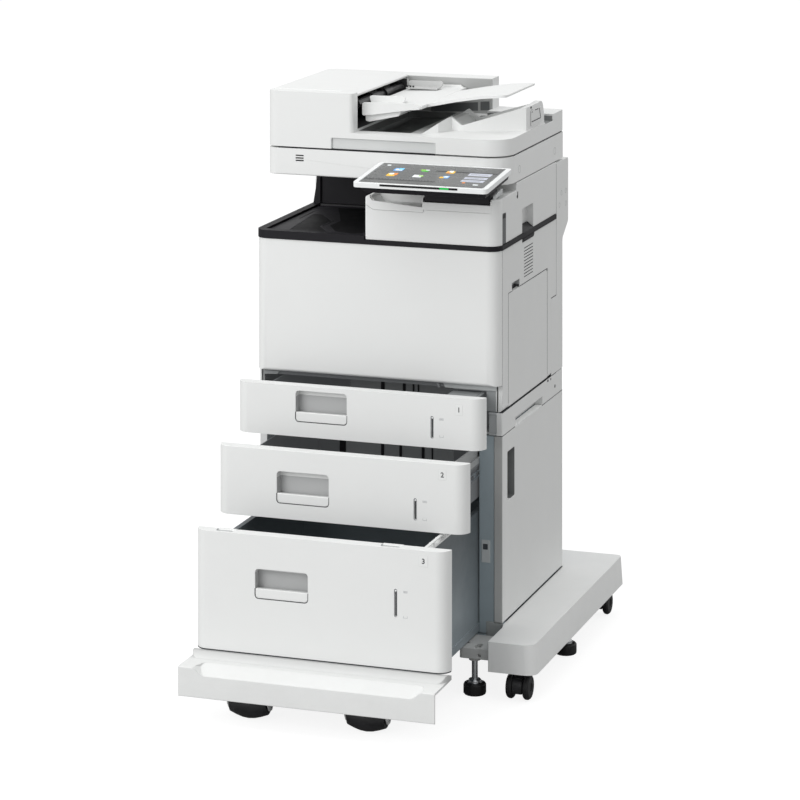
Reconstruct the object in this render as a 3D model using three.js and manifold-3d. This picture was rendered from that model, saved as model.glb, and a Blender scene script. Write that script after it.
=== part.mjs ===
// Floor-standing office photocopier: main unit, scanner with document feeder, and a
// paper cabinet with three open drawers, standing on a stabiliser base.
// Millimetres, +Z up, front towards -Y. x = 0 is the middle of the main unit,
// y = 0 the front cover, z = 0 the floor. The group is then moved so that its
// origin is the bottom centre of the whole object.
import * as THREE from "three";
import { mergeVertices } from "three/addons/utils/BufferGeometryUtils.js";
import Module from "manifold-3d";

const wasm = await Module();
wasm.setup();
const { Manifold, Mesh } = wasm;

// ---------------------------------------------------------------- shared dimensions
const HALF_WIDTH = 255.5; // of the main unit
const CORNER = 25; // plan radius of the front corners
const BODY_BACK = 456; // back of the lower body
const SIDE_FRONT = 27; // where the side covers start
const SIDE_BACK = 408; // where their upper part ends
const WALL = 3; // cover thickness
const GAP = 0.5; // gap between neighbours
const CENTRE = { x: 49, y: 88 }; // bottom centre of the whole object

const COVER = { bottom: 585, top: 850 }; // front cover
const TRIM = { bottom: COVER.top + GAP, top: 867 }; // black trim and output tray edge
const RING = { bottom: 484.5, top: 529.3 }; // base moulding of the main unit
const CABINET = { bottom: 88, top: 483 };
const SCANNER = { left: -254.5, right: 255.5, front: 60, back: 464.5, bottom: 970, top: 1023.5 };

// ---------------------------------------------------------------- solid helpers
function solid(geometry) {
  const flat = geometry.index ? geometry.toNonIndexed() : geometry;
  const bare = new THREE.BufferGeometry();
  bare.setAttribute("position", flat.getAttribute("position"));
  const merged = mergeVertices(bare, 1e-4);
  return new Manifold(
    new Mesh({
      numProp: 3,
      vertProperties: new Float32Array(merged.attributes.position.array),
      triVerts: new Uint32Array(merged.index.array),
    }),
  );
}

const add = (first, ...rest) => rest.reduce((body, other) => body.add(other), first);
const cut = (first, ...rest) => rest.reduce((body, other) => body.subtract(other), first);
const common = (first, ...rest) => rest.reduce((body, other) => body.intersect(other), first);
const repeat = (count, make) => Array.from({ length: count }, (_, i) => make(i));

function box(left, right, front, back, bottom, top) {
  const geometry = new THREE.BoxGeometry(right - left, back - front, top - bottom);
  return solid(geometry.translate((left + right) / 2, (front + back) / 2, (bottom + top) / 2));
}

// Closed outline whose corners are rounded: one radius for all, or one per point.
function round(points, radii, steps) {
  const count = points.length;
  const outline = [];
  for (let i = 0; i < count; i++) {
    const radius = Array.isArray(radii) ? radii[i] : radii;
    const point = new THREE.Vector2(...points[i]);
    const before = new THREE.Vector2(...points[(i + count - 1) % count]).sub(point).normalize();
    const after = new THREE.Vector2(...points[(i + 1) % count]).sub(point).normalize();
    const half = Math.acos(THREE.MathUtils.clamp(before.dot(after), -1, 1)) / 2;
    if (!radius || half > 1.55) {
      outline.push([point.x, point.y]); // sharp or nearly straight
      continue;
    }
    const setback = radius / Math.tan(half);
    const reach = radius / Math.sin(half);
    const middle = before.clone().add(after).normalize().multiplyScalar(reach).add(point);
    const start = point.clone().addScaledVector(before, setback).sub(middle);
    const end = point.clone().addScaledVector(after, setback).sub(middle);
    const from = Math.atan2(start.y, start.x);
    let sweep = Math.atan2(end.y, end.x) - from;
    while (sweep > Math.PI) sweep -= 2 * Math.PI;
    while (sweep < -Math.PI) sweep += 2 * Math.PI;
    for (let k = 0; k <= steps; k++) {
      const angle = from + (sweep * k) / steps;
      outline.push([middle.x + radius * Math.cos(angle), middle.y + radius * Math.sin(angle)]);
    }
  }
  return outline;
}
// Rectangle from its extent on the first and second axis of its plane.
const rect = (min1, max1, min2, max2) => [[min1, min2], [max1, min2], [max1, max2], [min1, max2]];
const roundedRect = (min1, max1, min2, max2, radius) =>
  round(rect(min1, max1, min2, max2), radius, 4);

function prism(points, depth) {
  const shape = new THREE.Shape(points.map(([x, y]) => new THREE.Vector2(x, y)));
  return new THREE.ExtrudeGeometry(shape, { depth, bevelEnabled: false, curveSegments: 1 });
}
function extrude(points, depth, basis, shift) {
  const matrix = new THREE.Matrix4().makeBasis(...basis).setPosition(...shift);
  return solid(prism(points, depth).applyMatrix4(matrix));
}
const X = new THREE.Vector3(1, 0, 0);
const Y = new THREE.Vector3(0, 1, 0);
const Z = new THREE.Vector3(0, 0, 1);
const FORWARD = Y.clone().negate();
// Prisms: plan takes [x, y] points, side [y, z] and face [x, z].
const plan = (points, bottom, top) => extrude(points, top - bottom, [X, Y, Z], [0, 0, bottom]);
const side = (points, left, right) => extrude(points, right - left, [Y, Z, X], [left, 0, 0]);
const face = (points, front, back) =>
  extrude(points, back - front, [X, Z, FORWARD], [0, back, 0]);

// Upright prism whose lower edge stands out by `by` to the right of x = from.
function flared(points, bottom, top, from, by) {
  const geometry = prism(points, top - bottom).translate(0, 0, bottom);
  const position = geometry.attributes.position;
  for (let i = 0; i < position.count; i++) {
    if (position.getZ(i) < bottom + 1 && position.getX(i) > from) {
      position.setX(i, position.getX(i) + by);
    }
  }
  return solid(geometry);
}

// Turned body: closed half profile [radius, height] about Z.
function turned(profile, segments) {
  const points = profile.map(([radius, height]) => new THREE.Vector2(radius, height));
  return solid(new THREE.LatheGeometry(points, segments).rotateX(Math.PI / 2));
}
const alongX = (body) => body.rotate([0, 90, 0]);
const alongY = (body) => body.rotate([-90, 0, 0]);
const rod = (radius, length, segments) =>
  turned([[0, 0], [radius, 0], [radius, length], [0, length]], segments);
const rodX = (radius, left, right, y, z, segments) =>
  alongX(rod(radius, right - left, segments)).translate([left, y, z]);
const rodY = (radius, front, back, x, z, segments) =>
  alongY(rod(radius, back - front, segments)).translate([x, front, z]);
const rodZ = (radius, bottom, top, x, y, segments) =>
  rod(radius, top - bottom, segments).translate([x, y, bottom]);

// Full-width shell with rounded front corners, open at the back. The hollow runs
// past the back by the overrun.
function frontShell(bottom, top, wall, overrun) {
  const outline = (inset, back) =>
    round(
      rect(-HALF_WIDTH + inset, HALF_WIDTH - inset, inset, back),
      [CORNER - inset, CORNER - inset, 0, 0],
      8,
    );
  return cut(
    plan(outline(0, CORNER), bottom, top),
    plan(outline(wall, CORNER + overrun), bottom + wall, top - wall),
  );
}

// ---------------------------------------------------------------- materials
const material = (settings) => new THREE.MeshStandardMaterial(settings);
const LIGHT = material({ color: 0xe2e4e4, roughness: 0.5 });
const GREY = material({ color: 0xb9bcbc, roughness: 0.5 });
const BLACK = material({ color: 0x29282c, roughness: 0.45 });
const DARK = material({ color: 0x3b3d3f, roughness: 0.55 });
const STEEL = material({ color: 0x6a747a, roughness: 0.4, metalness: 0.6 });
const RUBBER = material({ color: 0x1b1b1d, roughness: 0.8 });
const GLASS = material({ color: 0x8fa3a3, roughness: 0.1 });
const SCREEN = material({ color: 0x55585a, roughness: 0.25 });

const root = new THREE.Group();
root.name = "photocopier";
root.position.set(-CENTRE.x, -CENTRE.y, 0);

// Builds one solid and adds it to the group as a flat-shaded mesh.
function addPiece(name, surface, build) {
  const { numProp, numVert, vertProperties, triVerts } = build().getMesh();
  const positions = new Float32Array(numVert * 3);
  for (let i = 0; i < numVert; i++) {
    positions.set(vertProperties.subarray(i * numProp, i * numProp + 3), i * 3);
  }
  const indexed = new THREE.BufferGeometry();
  indexed.setAttribute("position", new THREE.BufferAttribute(positions, 3));
  indexed.setIndex(new THREE.BufferAttribute(new Uint32Array(triVerts), 1));
  const geometry = indexed.toNonIndexed();
  geometry.computeVertexNormals();
  const mesh = new THREE.Mesh(geometry, surface);
  mesh.name = name;
  root.add(mesh);
}

// ---------------------------------------------------------------- main unit
addPiece("main_frame", DARK, () => {
  // side plates, floor above the first drawer, top, back, and riser under the scanner
  const [left, right, back, top, plate] = [-251, 236, 434, 846, 4];
  const inside = (bottom, ceiling) =>
    box(left + plate, right - plate, 20, back - plate, bottom, ceiling);
  const shell = cut(
    box(left, right, 30, back, 530, top),
    inside(592, top - plate),
    inside(520, 588),
  );
  const riser = cut(
    box(-245, right, 350, 404, 840, 963.8),
    box(-241, right - plate, 340, 400, top, 960),
  );
  const sill = box(left + plate, right - plate, 30, 34, 572.5, 590);
  return add(shell, sill, riser);
});

addPiece("front_cover", LIGHT, () => {
  const { bottom, top } = COVER;
  const radius = 8; // rounding of the lower edge
  const lowerEdge = cut(
    box(-HALF_WIDTH - 1, HALF_WIDTH + 1, -1, radius, bottom - 1, bottom + radius),
    rodX(radius, -HALF_WIDTH - 2, HALF_WIDTH + 2, radius, bottom + radius, 32),
  );
  return cut(frontShell(bottom, top, WALL, 2), lowerEdge);
});

// side cover outline [y, z] with the step of the rear cover seam
const sideOutline = (top) => [
  [SIDE_FRONT, 531], [370.5, 531], [370.5, 690.5],
  [SIDE_BACK, 690.5], [SIDE_BACK, top], [SIDE_FRONT, top],
];

addPiece("left_cover", LIGHT, () => {
  const outside = -HALF_WIDTH;
  const slots = repeat(9, (i) =>
    box(outside - 1, outside + 4, 250, 330, 720 + i * 12, 724 + i * 12),
  );
  // the output tray is open to the left, so the cover stops below it in front
  const trayOpening = box(outside - 1, outside + 4, 20, 348, 849.8, 970);
  return cut(side(sideOutline(965), outside, outside + WALL), ...slots, trayOpening);
});

addPiece("rear_cover", GREY, () => {
  const outer = round(
    [[408.6, 530.5], [BODY_BACK, 530.5], [BODY_BACK, 801], [500, 831], [500, 965], [408.6, 965]],
    [0, 3, 10, 8, 6, 0],
    4,
  );
  const lower = rect(371.2, 410, 530.5, 689.8);
  const inner = [
    [360, 520], [BODY_BACK - WALL, 520], [BODY_BACK - WALL, 802.5],
    [497, 832.6], [497, 962], [360, 962],
  ];
  return cut(
    add(side(outer, -HALF_WIDTH, HALF_WIDTH), side(lower, -HALF_WIDTH, HALF_WIDTH)),
    side(inner, -HALF_WIDTH + WALL, HALF_WIDTH - WALL),
  );
});

addPiece("right_upper_cover", GREY, () => {
  // above the trim, with grip recess, front slot and top plate
  const outer = [
    [SIDE_FRONT, 860.3], [SIDE_BACK, 860.3], [SIDE_BACK, 967.5],
    [123.4, 967.5], [121.4, 952.6], [SIDE_FRONT, 952.6],
  ];
  const inner = [
    [SIDE_FRONT - 1, 850], [SIDE_BACK + 1, 850], [SIDE_BACK + 1, 964.5],
    [126.2, 964.5], [124.2, 949.6], [SIDE_FRONT - 1, 949.6],
  ];
  const shell = cut(side(outer, 150, HALF_WIDTH), side(inner, 140, HALF_WIDTH - WALL));
  const gripBacking = box(HALF_WIDTH - 19, HALF_WIDTH - 1, 159, 243, 860.3, 913);
  const grip = face(roundedRect(HALF_WIDTH - 16, HALF_WIDTH + 4, 850, 909.6, 6), 162, 240);
  const frontSlot = box(HALF_WIDTH - 8, HALF_WIDTH + 1, SIDE_FRONT - 1, 48.5, 850, 921);
  const housingNotch = box(140, 238.5, 20, 58, 940, 960);
  return cut(add(gripBacking, shell), grip, frontSlot, housingNotch);
});

addPiece("right_door", GREY, () => {
  // slab with a pocket for the bypass tray, vents and a grip
  const slab = side(sideOutline(848.8), 241.5, HALF_WIDTH);
  const lowerEdge = cut(
    box(247.5, 257, 20, 380, 530, 539),
    rodY(8, 19, 381, 247.5, 539, 24),
  );
  const pocket = face(rect(247, 260, 533.5, 757.5), 66, 341);
  const pocketMouth = box(246.6, 260, 66, 341, 520, 540);
  const grip = face(roundedRect(244, 262, 757.2, 773.6, 2.5), 90, 143.5);
  const innerRecess = box(241, 245, 60, 350, 600, 720);
  const vent = { count: 10, z: 770.6, pitch: 6.4, half: 1.1 };
  const vents = repeat(vent.count, (i) => {
    const z = vent.z + i * vent.pitch;
    return box(HALF_WIDTH - 6, HALF_WIDTH + 1, 174.4, 238, z - vent.half, z + vent.half);
  });
  const leverOutline = round(
    [[162.5, 842.5], [236, 842.5], [241.5, 847], [241.5, 849.4], [162.5, 849.4]],
    [1.5, 4, 0, 0, 0],
    3,
  );
  return add(
    cut(slab, lowerEdge, pocket, pocketMouth, grip, innerRecess, ...vents),
    side(leverOutline, 247, 257.2),
  );
});

addPiece("bypass_tray", GREY, () => {
  const slab = side(roundedRect(66.6, 340.4, 532, 757, 3), 248, HALF_WIDTH);
  const edge = { x: 251.7, z: 535.8 }; // axis of the rounded lower edge
  const edgeRod = rodY(3.8, 59, 351, edge.x, edge.z, 24);
  const outerEdge = cut(box(edge.x, 257, 60, 350, 531, edge.z), edgeRod);
  const innerEdge = cut(box(247, edge.x, 60, 350, 531, edge.z), edgeRod);
  return cut(slab, outerEdge, innerEdge, box(247, 251, 100, 300, 560, 720));
});

addPiece("output_tray", BLACK, () => {
  // floor with front edge, back wall, right wall and side trim
  const { bottom, top } = TRIM;
  const [left, right, front, wallFront, wallBack] = [-257, 257.5, -2, 340, 346];
  const floorTop = 859.8;
  const joint = 859; // upper parts start just inside the floor
  const floor = plan(round(rect(left, right, front, wallBack), [26, 27, 0, 0], 8), bottom, floorTop);
  const edge = plan(round(rect(left, -23.5, front, wallBack), [26, 0, 0, 0], 8), joint, top);
  const basin = side(
    round([[14, top + 1], [20, 862.5], [330, 862.5], [332, top + 1]], 2, 3),
    -240,
    -23,
  );
  const rearBand = box(246, right, wallFront, 404, bottom, floorTop);
  const backWall = box(-240, 146, wallFront, wallBack, joint, 966);
  const wing = [[left, joint], [-240, joint], [-240, 966], [-244, 966], [-250, 900]];
  const rightWall = box(140, 146, 58, wallBack, joint, 950);
  // upper part of the door lever recess
  const latch = [
    [240.6, joint], [257.2, joint], [257.2, 861],
    [254, 863], [243, 871], [240.6, 871],
  ];
  // dark strip beside the housing
  const strip = box(246, 254.6, SIDE_FRONT + 0.4, 48, joint, 920.5);
  return add(
    cut(add(floor, edge), basin),
    rearBand,
    backWall,
    face(wing, 334, wallBack),
    rightWall,
    face(latch, 162.6, 239.4),
    strip,
  );
});

addPiece("control_housing", LIGHT, () => {
  // housing under the operating panel
  const [left, back, bottom, top] = [-22.5, 56, 860.5, 948.5];
  const sideEnd = SIDE_FRONT - 0.6;
  const outline = round(
    [[left, 0], [HALF_WIDTH, 0], [HALF_WIDTH, sideEnd], [149, sideEnd], [149, back], [left, back]],
    [5, CORNER, 0, 0, 0, 0],
    8,
  );
  const ridge = round(rect(239.6, HALF_WIDTH, 0, sideEnd), [0, 15.8, 0, 0], 8);
  const radius = 9; // rounding of the upper left edge
  const upperEdge = cut(
    box(left - 1, left + radius, -1, back + 1, top - radius, top + 1),
    rodY(radius, -2, back + 2, left + radius, top - radius, 32),
  );
  const recess = round(
    [[2, 930], [97, 930], [97, 960], [-10, 960], [-10, 944]],
    [2, 0, 0, 0, 2],
    3,
  );
  const recessFront = [[-7, 938], [98, 930], [98, 960], [-12, 960], [-12, 944]];
  const pocket = rect(99, 238, 940.5, 960);
  const leftSeam = [
    [-24, 930.6], [-22.6, 929.9], [-5, 919.7], [99.8, 919.7],
    [99.8, 920.9], [-4.6, 920.9], [-22, 931.1], [-24, 932],
  ];
  const rightSeam = [
    [98.6, 919.7], [99.8, 919.7], [101.5, 924.9], [241.6, 924.9],
    [241.6, 953], [240.4, 953], [240.4, 926.1], [100.4, 926.1],
  ];
  return cut(
    add(plan(outline, bottom, top), plan(ridge, top - 1, 952.6)),
    upperEdge,
    face(recess, 4, back - 6),
    face(recessFront, -1, 6),
    face(pocket, -1, back + 1),
    add(face(leftSeam, -1, 2.5), face(rightSeam, -1, 2.5)),
  );
});

addPiece("panel_bracket", BLACK, () => {
  // support under the panel, with its hinge knuckle
  const arm = round([[3, 941], [54, 941], [54, 966], [8, 966], [3, 960]], 2, 3);
  const web = [[-6, 960], [6, 952], [12, 966], [-3, 973]];
  return add(side(arm, 101, 236), rodX(7, 110, 228, -3, 966, 24), side(web, 110, 228));
});

// Operating panel, drawn flat with its top at z = 0 and its front at y = 0, then tilted.
const PANEL = { left: -9, right: 266, front: -112, depth: 168.7, z: 991.3, tilt: 5.3, thick: 9.6 };
const tiltPanel = (body) => body.rotate([PANEL.tilt, 0, 0]).translate([0, PANEL.front, PANEL.z]);

addPiece("control_panel", LIGHT, () => {
  const { left, right, depth, thick } = PANEL;
  const body = plan(round(rect(left, right, 0, depth), [9, 9, 6, 6], 5), -thick, 0);
  const screenRecess = round(rect(left + 9.5, right - 10.5, 8, depth - 5), 3, 3);
  const frontSlot = box(left + 56.4, right - 59.5, -1, 1.4, -4.6, -0.9);
  const bellyFace = round(
    [[right - 4, -thick + 1], [right - 8, -22], [left + 24, -22], [left + 4, -thick + 1]],
    [0, 3, 3, 0],
    3,
  );
  const bellySide = [[8, -thick - 2], [14, -23], [depth, -23], [depth, 0], [8, 0]];
  const belly = common(face(bellyFace, 8, depth - 5), side(bellySide, left, right));
  const notch = box(96, 250, 86, 134, -24, -thick - 1.4);
  return tiltPanel(cut(add(body, belly), plan(screenRecess, -2.2, 1), frontSlot, notch));
});

addPiece("touch_screen", SCREEN, () => {
  const { left, right, depth } = PANEL;
  const outline = round(rect(left + 10, right - 11, 8.5, depth - 5.5), 2.6, 3);
  return tiltPanel(plan(outline, -1.8, -0.2));
});

addPiece("fuser_unit", DARK, () =>
  add(box(150, 226, 60, 400, 700, 800), rodY(14, 50, 410, 188, 812, 20)),
);

addPiece("transfer_belt_unit", BLACK, () =>
  face(round([[-215, 735], [140, 735], [140, 762], [-215, 762]], 13, 5), 60, 400),
);

// Toner containers: bottles with a stepped front cap, lying front to back, left to right.
const TONERS = [
  ["yellow", 0xd8c33a],
  ["magenta", 0xb8487e],
  ["cyan", 0x3f9ec4],
  ["black", 0x303033],
];
TONERS.forEach(([name, color], i) => {
  const profile = [[0, 0], [20, 0], [20, 6], [31, 10], [31, 300], [26, 306], [0, 306]];
  addPiece("toner_" + name, material({ color, roughness: 0.5 }), () =>
    alongY(turned(profile, 16)).translate([-175 + i * 80, 60, 806]),
  );
});

// ---------------------------------------------------------------- scanner
// Plan shared by the scanner and the feeder, up to the given back.
const scannerOutline = (back) =>
  round(rect(SCANNER.left, SCANNER.right, SCANNER.front, back), [22, 50, 8, 8], 8);

addPiece("scanner_base", LIGHT, () => {
  const { left, right, front, back, bottom, top } = SCANNER;
  const inside = box(left + 16, right - 22, front + 24, back - 14, bottom + 6, top - 3.5);
  const platenWindow = box(-176, 160, 95, 400, top - 6, top + 1);
  const stripWindow = box(-222, -196, 95, 400, top - 6, top + 1);
  const radius = 3; // rounding of the lower front edge
  const lowerEdge = cut(
    box(left - 1, right + 1, front - 1, front + radius, bottom - 1, bottom + radius),
    rodX(radius, left - 2, right + 2, front + radius, bottom + radius, 24),
  );
  const slots = repeat(3, (i) =>
    box(-192, -174.8, front - 1, front + 3, 998.2 + i * 5.2, 1000.8 + i * 5.2),
  );
  const body = plan(scannerOutline(back), bottom, top);
  return cut(body, inside, platenWindow, stripWindow, lowerEdge, ...slots);
});

addPiece("platen_glass", GLASS, () => {
  const { top } = SCANNER;
  return add(
    box(-175.5, 159.5, 95.5, 399.5, top - 3, top - 0.2),
    box(-177, 161, 94, 401, top - 7.5, top - 4),
    box(-170, 154, 100, 395, top - 5, top - 2),
  );
});

addPiece("scan_carriage", BLACK, () =>
  add(
    face(round(rect(-222, -176, 981, 1008), [3, 3, 8, 8], 3), 90, 410),
    box(-204, -194, 92, 408, 1006, 1012),
  ),
);

// ---------------------------------------------------------------- document feeder
const FEEDER = { bottom: 1027, slabTop: 1060, back: 462, blockRight: -70, blockTop: 1132.5 };
const LID = { front: 90.6, back: 413.4, top: 1140 };

addPiece("adf_base", LIGHT, () => {
  const { bottom, slabTop, back, blockRight, blockTop } = FEEDER;
  const { left, right, front } = SCANNER;
  const raisedBottom = bottom + 5; // raised parts start inside the slab
  const slab = plan(scannerOutline(back), bottom, slabTop);
  const basin = box(blockRight - 2, 40, 100, 408, 1046, 1070);

  // raised left block, hollow, with a rim along its front
  const blockOutline = round(rect(left, blockRight, front, 416.5), [22, 8, 0, 0], 8);
  const block = plan(blockOutline, raisedBottom, blockTop);
  const rim = common(
    plan(blockOutline, 1120, 1138.8),
    box(left, blockRight, front, 90, 1120, 1139),
  );
  const cave = add(
    box(-242, blockRight + 1, LID.front, 408, 1064, 1127),
    box(-107.9, blockRight + 1, 90.2, 414, 1126, 1134),
  );
  const mouth = box(blockRight - 1, blockRight + 2, LID.front, 412, 1062, 1134);

  const rearOutline = round(rect(left, 115, 414, back), [0, 0, 2, 8], 4);
  const rearWall = plan(rearOutline, raisedBottom, 1134);
  const cornerOutline = round(rect(113, right, 384, back), [0, 4, 8, 0], 5);
  const rearCorner = plan(cornerOutline, raisedBottom, 1070);

  // output ridge, cut back along a slanted plan line and channelled
  const ridge = round(
    [[58, 1056], [105, 1088.5], [129, 1071.5], [242, 1106], [253.3, 1107], [253.3, 1056]],
    [0, 3, 5, 4, 0, 0],
    3,
  );
  const slant = [
    [40, 50], [260, 50], [260, 200], [253, 197], [137, 157],
    [108, 160], [92, 119], [66, 103], [40, 96],
  ];
  const channel = [[40, 1080], [105, 1079], [129, 1061.5], [238, 1095], [238, 1140], [40, 1140]];
  const channelLimit = [
    [30, 50], [260, 50], [260, 214], [250, 210], [138, 165],
    [102, 168], [86, 127], [60, 110], [30, 104],
  ];
  const outputRidge = cut(
    face(ridge, 96, 284),
    plan(slant, 1050, 1130),
    cut(face(channel, 60, 277), plan(channelLimit, 1050, 1150)),
  );

  const wall = round(
    [
      [201, 1056], [326.5, 1056], [324, 1082], [316, 1102],
      [304, 1108.5], [270, 1106.6], [201, 1106],
    ],
    [0, 0, 14, 8, 8, 0, 3],
    5,
  );
  const rightNotch = box(150, right + 1, 326.5, 384.2, 1056, 1066);
  const grip = face(roundedRect(-115, 104, bottom - 4, 1049, 3), front - 1, front + 4);
  return cut(
    add(
      cut(slab, basin),
      cut(add(block, rim), cave, mouth),
      rearWall,
      rearCorner,
      outputRidge,
      side(wall, 240, 253.3),
    ),
    rightNotch,
    grip,
  );
});

addPiece("feeder_cover", LIGHT, () => {
  // top lid over the feed rollers
  const { left, front } = SCANNER;
  const section = round(
    [
      [left, 1133], [-107.6, 1133], [-105, 1129.5], [-73, 1129.5],
      [-72, 1134.3], [-107, LID.top], [left, LID.top],
    ],
    [0, 0, 0, 0, 2, 0, 6],
    4,
  );
  const outline = round(rect(left, FEEDER.blockRight, front, LID.back), [22, 4, 0, 0], 8);
  return common(face(section, LID.front, LID.back), plan(outline, 1100, 1200));
});

addPiece("feed_tray", LIGHT, () => {
  // wide throat and a narrower raised leaf
  const throat = round(
    [[-62, 1104], [44, 1105], [60, 1107.5], [60, 1114], [44, 1113.5], [-62, 1110]],
    [0, 0, 0, 1, 1, 2],
    2,
  );
  const [leafFront, leafBack, leafRight] = [150, 360, 226];
  const leaf = round(
    [
      [56, 1106], [120, 1119.4], [173, 1128.2], [leafRight, 1132.6],
      [leafRight, 1137.4], [173, 1133.2], [120, 1124.6], [56, 1112.6],
    ],
    [0, 0, 0, 2, 2, 0, 0, 0],
    3,
  );
  const leafPlan = round(
    [
      [50, 120], [66, leafFront], [leafRight, leafFront],
      [leafRight, leafBack], [66, leafBack], [50, 390],
    ],
    [0, 10, 12, 12, 10, 0],
    4,
  );
  const cheek = round(
    [
      [-64, 1090.5], [-42, 1092.8], [40, 1106], [58, 1107.5],
      [58, 1111], [47, 1118.6], [-64, 1117],
    ],
    [3, 0, 0, 1, 3, 5, 4],
    3,
  );
  const underside = round(
    [[-60, 1079], [-52, 1077.5], [10, 1091], [14, 1097], [14, 1106], [-52, 1106], [-60, 1088]],
    [2, 2, 2, 0, 0, 0, 0],
    2,
  );
  return add(
    face(throat, 108, 406),
    common(face(leaf, leafFront, leafBack), plan(leafPlan, 1090, 1150)),
    face(cheek, 102, 108),
    face(cheek, 406, 411),
    rodY(6, 102, 411, -46, 1100, 20),
    face(underside, 112, 400),
  );
});

// Paper guide standing at y, with a foot running from y + footFront to y + footBack.
function guide(y, footFront, footBack) {
  const upright = round(
    [[-54, 1114.5], [14, 1115.5], [22, 1128.8], [-58, 1127.5]],
    [0, 1, 4, 3],
    3,
  );
  const foot = rect(-54, 14, 1114.2, 1117);
  return add(face(upright, y - 3, y + 3), face(foot, y + footFront, y + footBack));
}
addPiece("guide_front", LIGHT, () => guide(131, -3, 26));
addPiece("guide_rear", GREY, () => guide(375, -26, 3));

addPiece("output_stopper", LIGHT, () =>
  add(
    side(roundedRect(226, 298, 1066.6, 1098, 3), 253.8, 255.6),
    box(253.8, 255.9, 236, 243, 1097, 1101),
  ),
);

addPiece("pickup_roller", RUBBER, () => {
  const axis = { x: -84, z: 1110 };
  return add(
    rodY(9, 120, 400, axis.x, axis.z, 12),
    rodY(13, 200, 240, axis.x, axis.z, 16),
    rodY(13, 280, 320, axis.x, axis.z, 16),
  );
});

// ---------------------------------------------------------------- drawers
// bottom, top: front panel; open: how far it stands out; slot: level slot.
// tray: half width and heights; lining: extra thickness inside its side walls.
// rails: bars along both tray sides, by their reach inwards and outwards from the
// side, setbacks from the tray's front and back, and heights. clips: x spans on top.
const DRAWERS = [
  {
    number: 1, bottom: 484, top: 583.5, open: 104,
    handle: { bottom: 513.7, top: 574.7 },
    slot: { top: 545.5, height: 43.5 },
    tray: { name: "tray", half: 214, bottom: 493, top: 568, lining: 0 },
    rails: { inward: 1, outward: 6, front: 8, back: 20, bottom: 545, top: 556 },
    clips: [],
  },
  {
    number: 2, bottom: 348.8, top: 481.6, open: 207,
    handle: { bottom: 379.3, top: 440.5 },
    slot: { top: 411.5, height: 42 },
    tray: { name: "tray", half: 203, bottom: 358, top: 463, lining: 0 },
    rails: { inward: 1, outward: 4, front: 8, back: 20, bottom: 424, top: 440 },
    clips: [],
  },
  {
    number: 3, bottom: 119.8, top: 346.6, open: 322,
    handle: { bottom: 226.4, top: 282.6 },
    slot: { top: 270.3, height: 52.7 },
    tray: { name: "box", half: 205, bottom: 112, top: 333, lining: 8 },
    rails: { inward: 8, outward: 2, front: 6, back: 10, bottom: 96, top: 112.5 },
    clips: [[-212, -176], [121, 161]],
  },
];
const HANDLE = { left: -130.3, right: -23.3, depth: 21 };
const SLOT_X = 152.5;

function drawerFront({ bottom, top, handle, slot, clips }) {
  const { left, right, depth } = HANDLE;
  const slotBottom = slot.top - slot.height;
  const body = add(
    frontShell(bottom, top, 4, 1),
    box(left - 3, right + 3, 2, 24, handle.bottom - 3, handle.top + 3),
    box(SLOT_X - 5, SLOT_X + 5, 2, 7, slotBottom - 4, slot.top + 4),
    ...clips.map(([clipLeft, clipRight]) => box(clipLeft, clipRight, 17, 25, top - 2, top + 0.9)),
  );
  return cut(
    body,
    face(roundedRect(left, right, handle.bottom, handle.top, 7), -1, depth),
    face(roundedRect(SLOT_X - 3, SLOT_X + 3, slotBottom, slot.top, 2.9), -1, 5.4),
  );
}

// release strip at the lower edge of the handle recess
function drawerButton({ handle: { bottom, top } }) {
  const { left, right } = HANDLE;
  const section = round(
    [[0.8, bottom], [15, bottom], [15, bottom + 17], [0.8, bottom + 19]],
    [0, 0, 1, 2],
    3,
  );
  return common(
    face(roundedRect(left + 0.6, right - 0.6, bottom + 0.6, top - 1, 6.4), 0.8, 15),
    side(section, left, right),
  );
}

function drawerIndicator({ slot: { top } }) {
  return face(roundedRect(SLOT_X - 2.4, SLOT_X + 2.4, top - 6.2, top - 1, 2.3), 3.4, 4.9);
}

function drawerTray({ tray: { half, bottom, top, lining }, rails }) {
  const wall = 2.5;
  const front = CORNER + GAP;
  const back = 430;
  const innerHalf = half - wall - lining;
  const tub = cut(
    box(-half, half, front, back, bottom, top),
    box(-innerHalf, innerHalf, front + wall + 6, back - wall, bottom + wall, top + 1),
  );
  const inner = half - rails.inward;
  const outer = half + rails.outward;
  const rail = (left, right) =>
    box(left, right, front + rails.front, back - rails.back, rails.bottom, rails.top);
  return add(tub, rail(inner, outer), rail(-outer, -inner));
}

for (const drawer of DRAWERS) {
  const prefix = `drawer_${drawer.number}_`;
  const pulledOut = (build) => () => build(drawer).translate([0, -drawer.open, 0]);
  addPiece(prefix + "front", LIGHT, pulledOut(drawerFront));
  addPiece(prefix + "button", LIGHT, pulledOut(drawerButton));
  addPiece(prefix + "indicator", LIGHT, pulledOut(drawerIndicator));
  addPiece(prefix + drawer.tray.name, DARK, pulledOut(drawerTray));
}

// ---------------------------------------------------------------- step under drawer 3
const STEP = { front: -79, apron: 3, bottom: 52, top: 108, thick: 4 };
const STEP_SHIFT = -DRAWERS[2].open;
const ROLLER = { radius: 27, end: 18, half: 37.5, y: -7, z: 27.8 };
const ROLLERS = { left: -137, right: 100 }; // x of each

function rollerBracket(x) {
  const { y } = ROLLER;
  const top = STEP.top - 1;
  const outline = round(
    [[y + 14, top], [y + 14, 30], [y + 6, 18], [y - 6, 18], [y - 14, 30], [y - 14, top]],
    [0, 2, 4, 4, 2, 0],
    3,
  );
  return side(outline, x - 1.5, x + 1.5);
}

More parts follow.
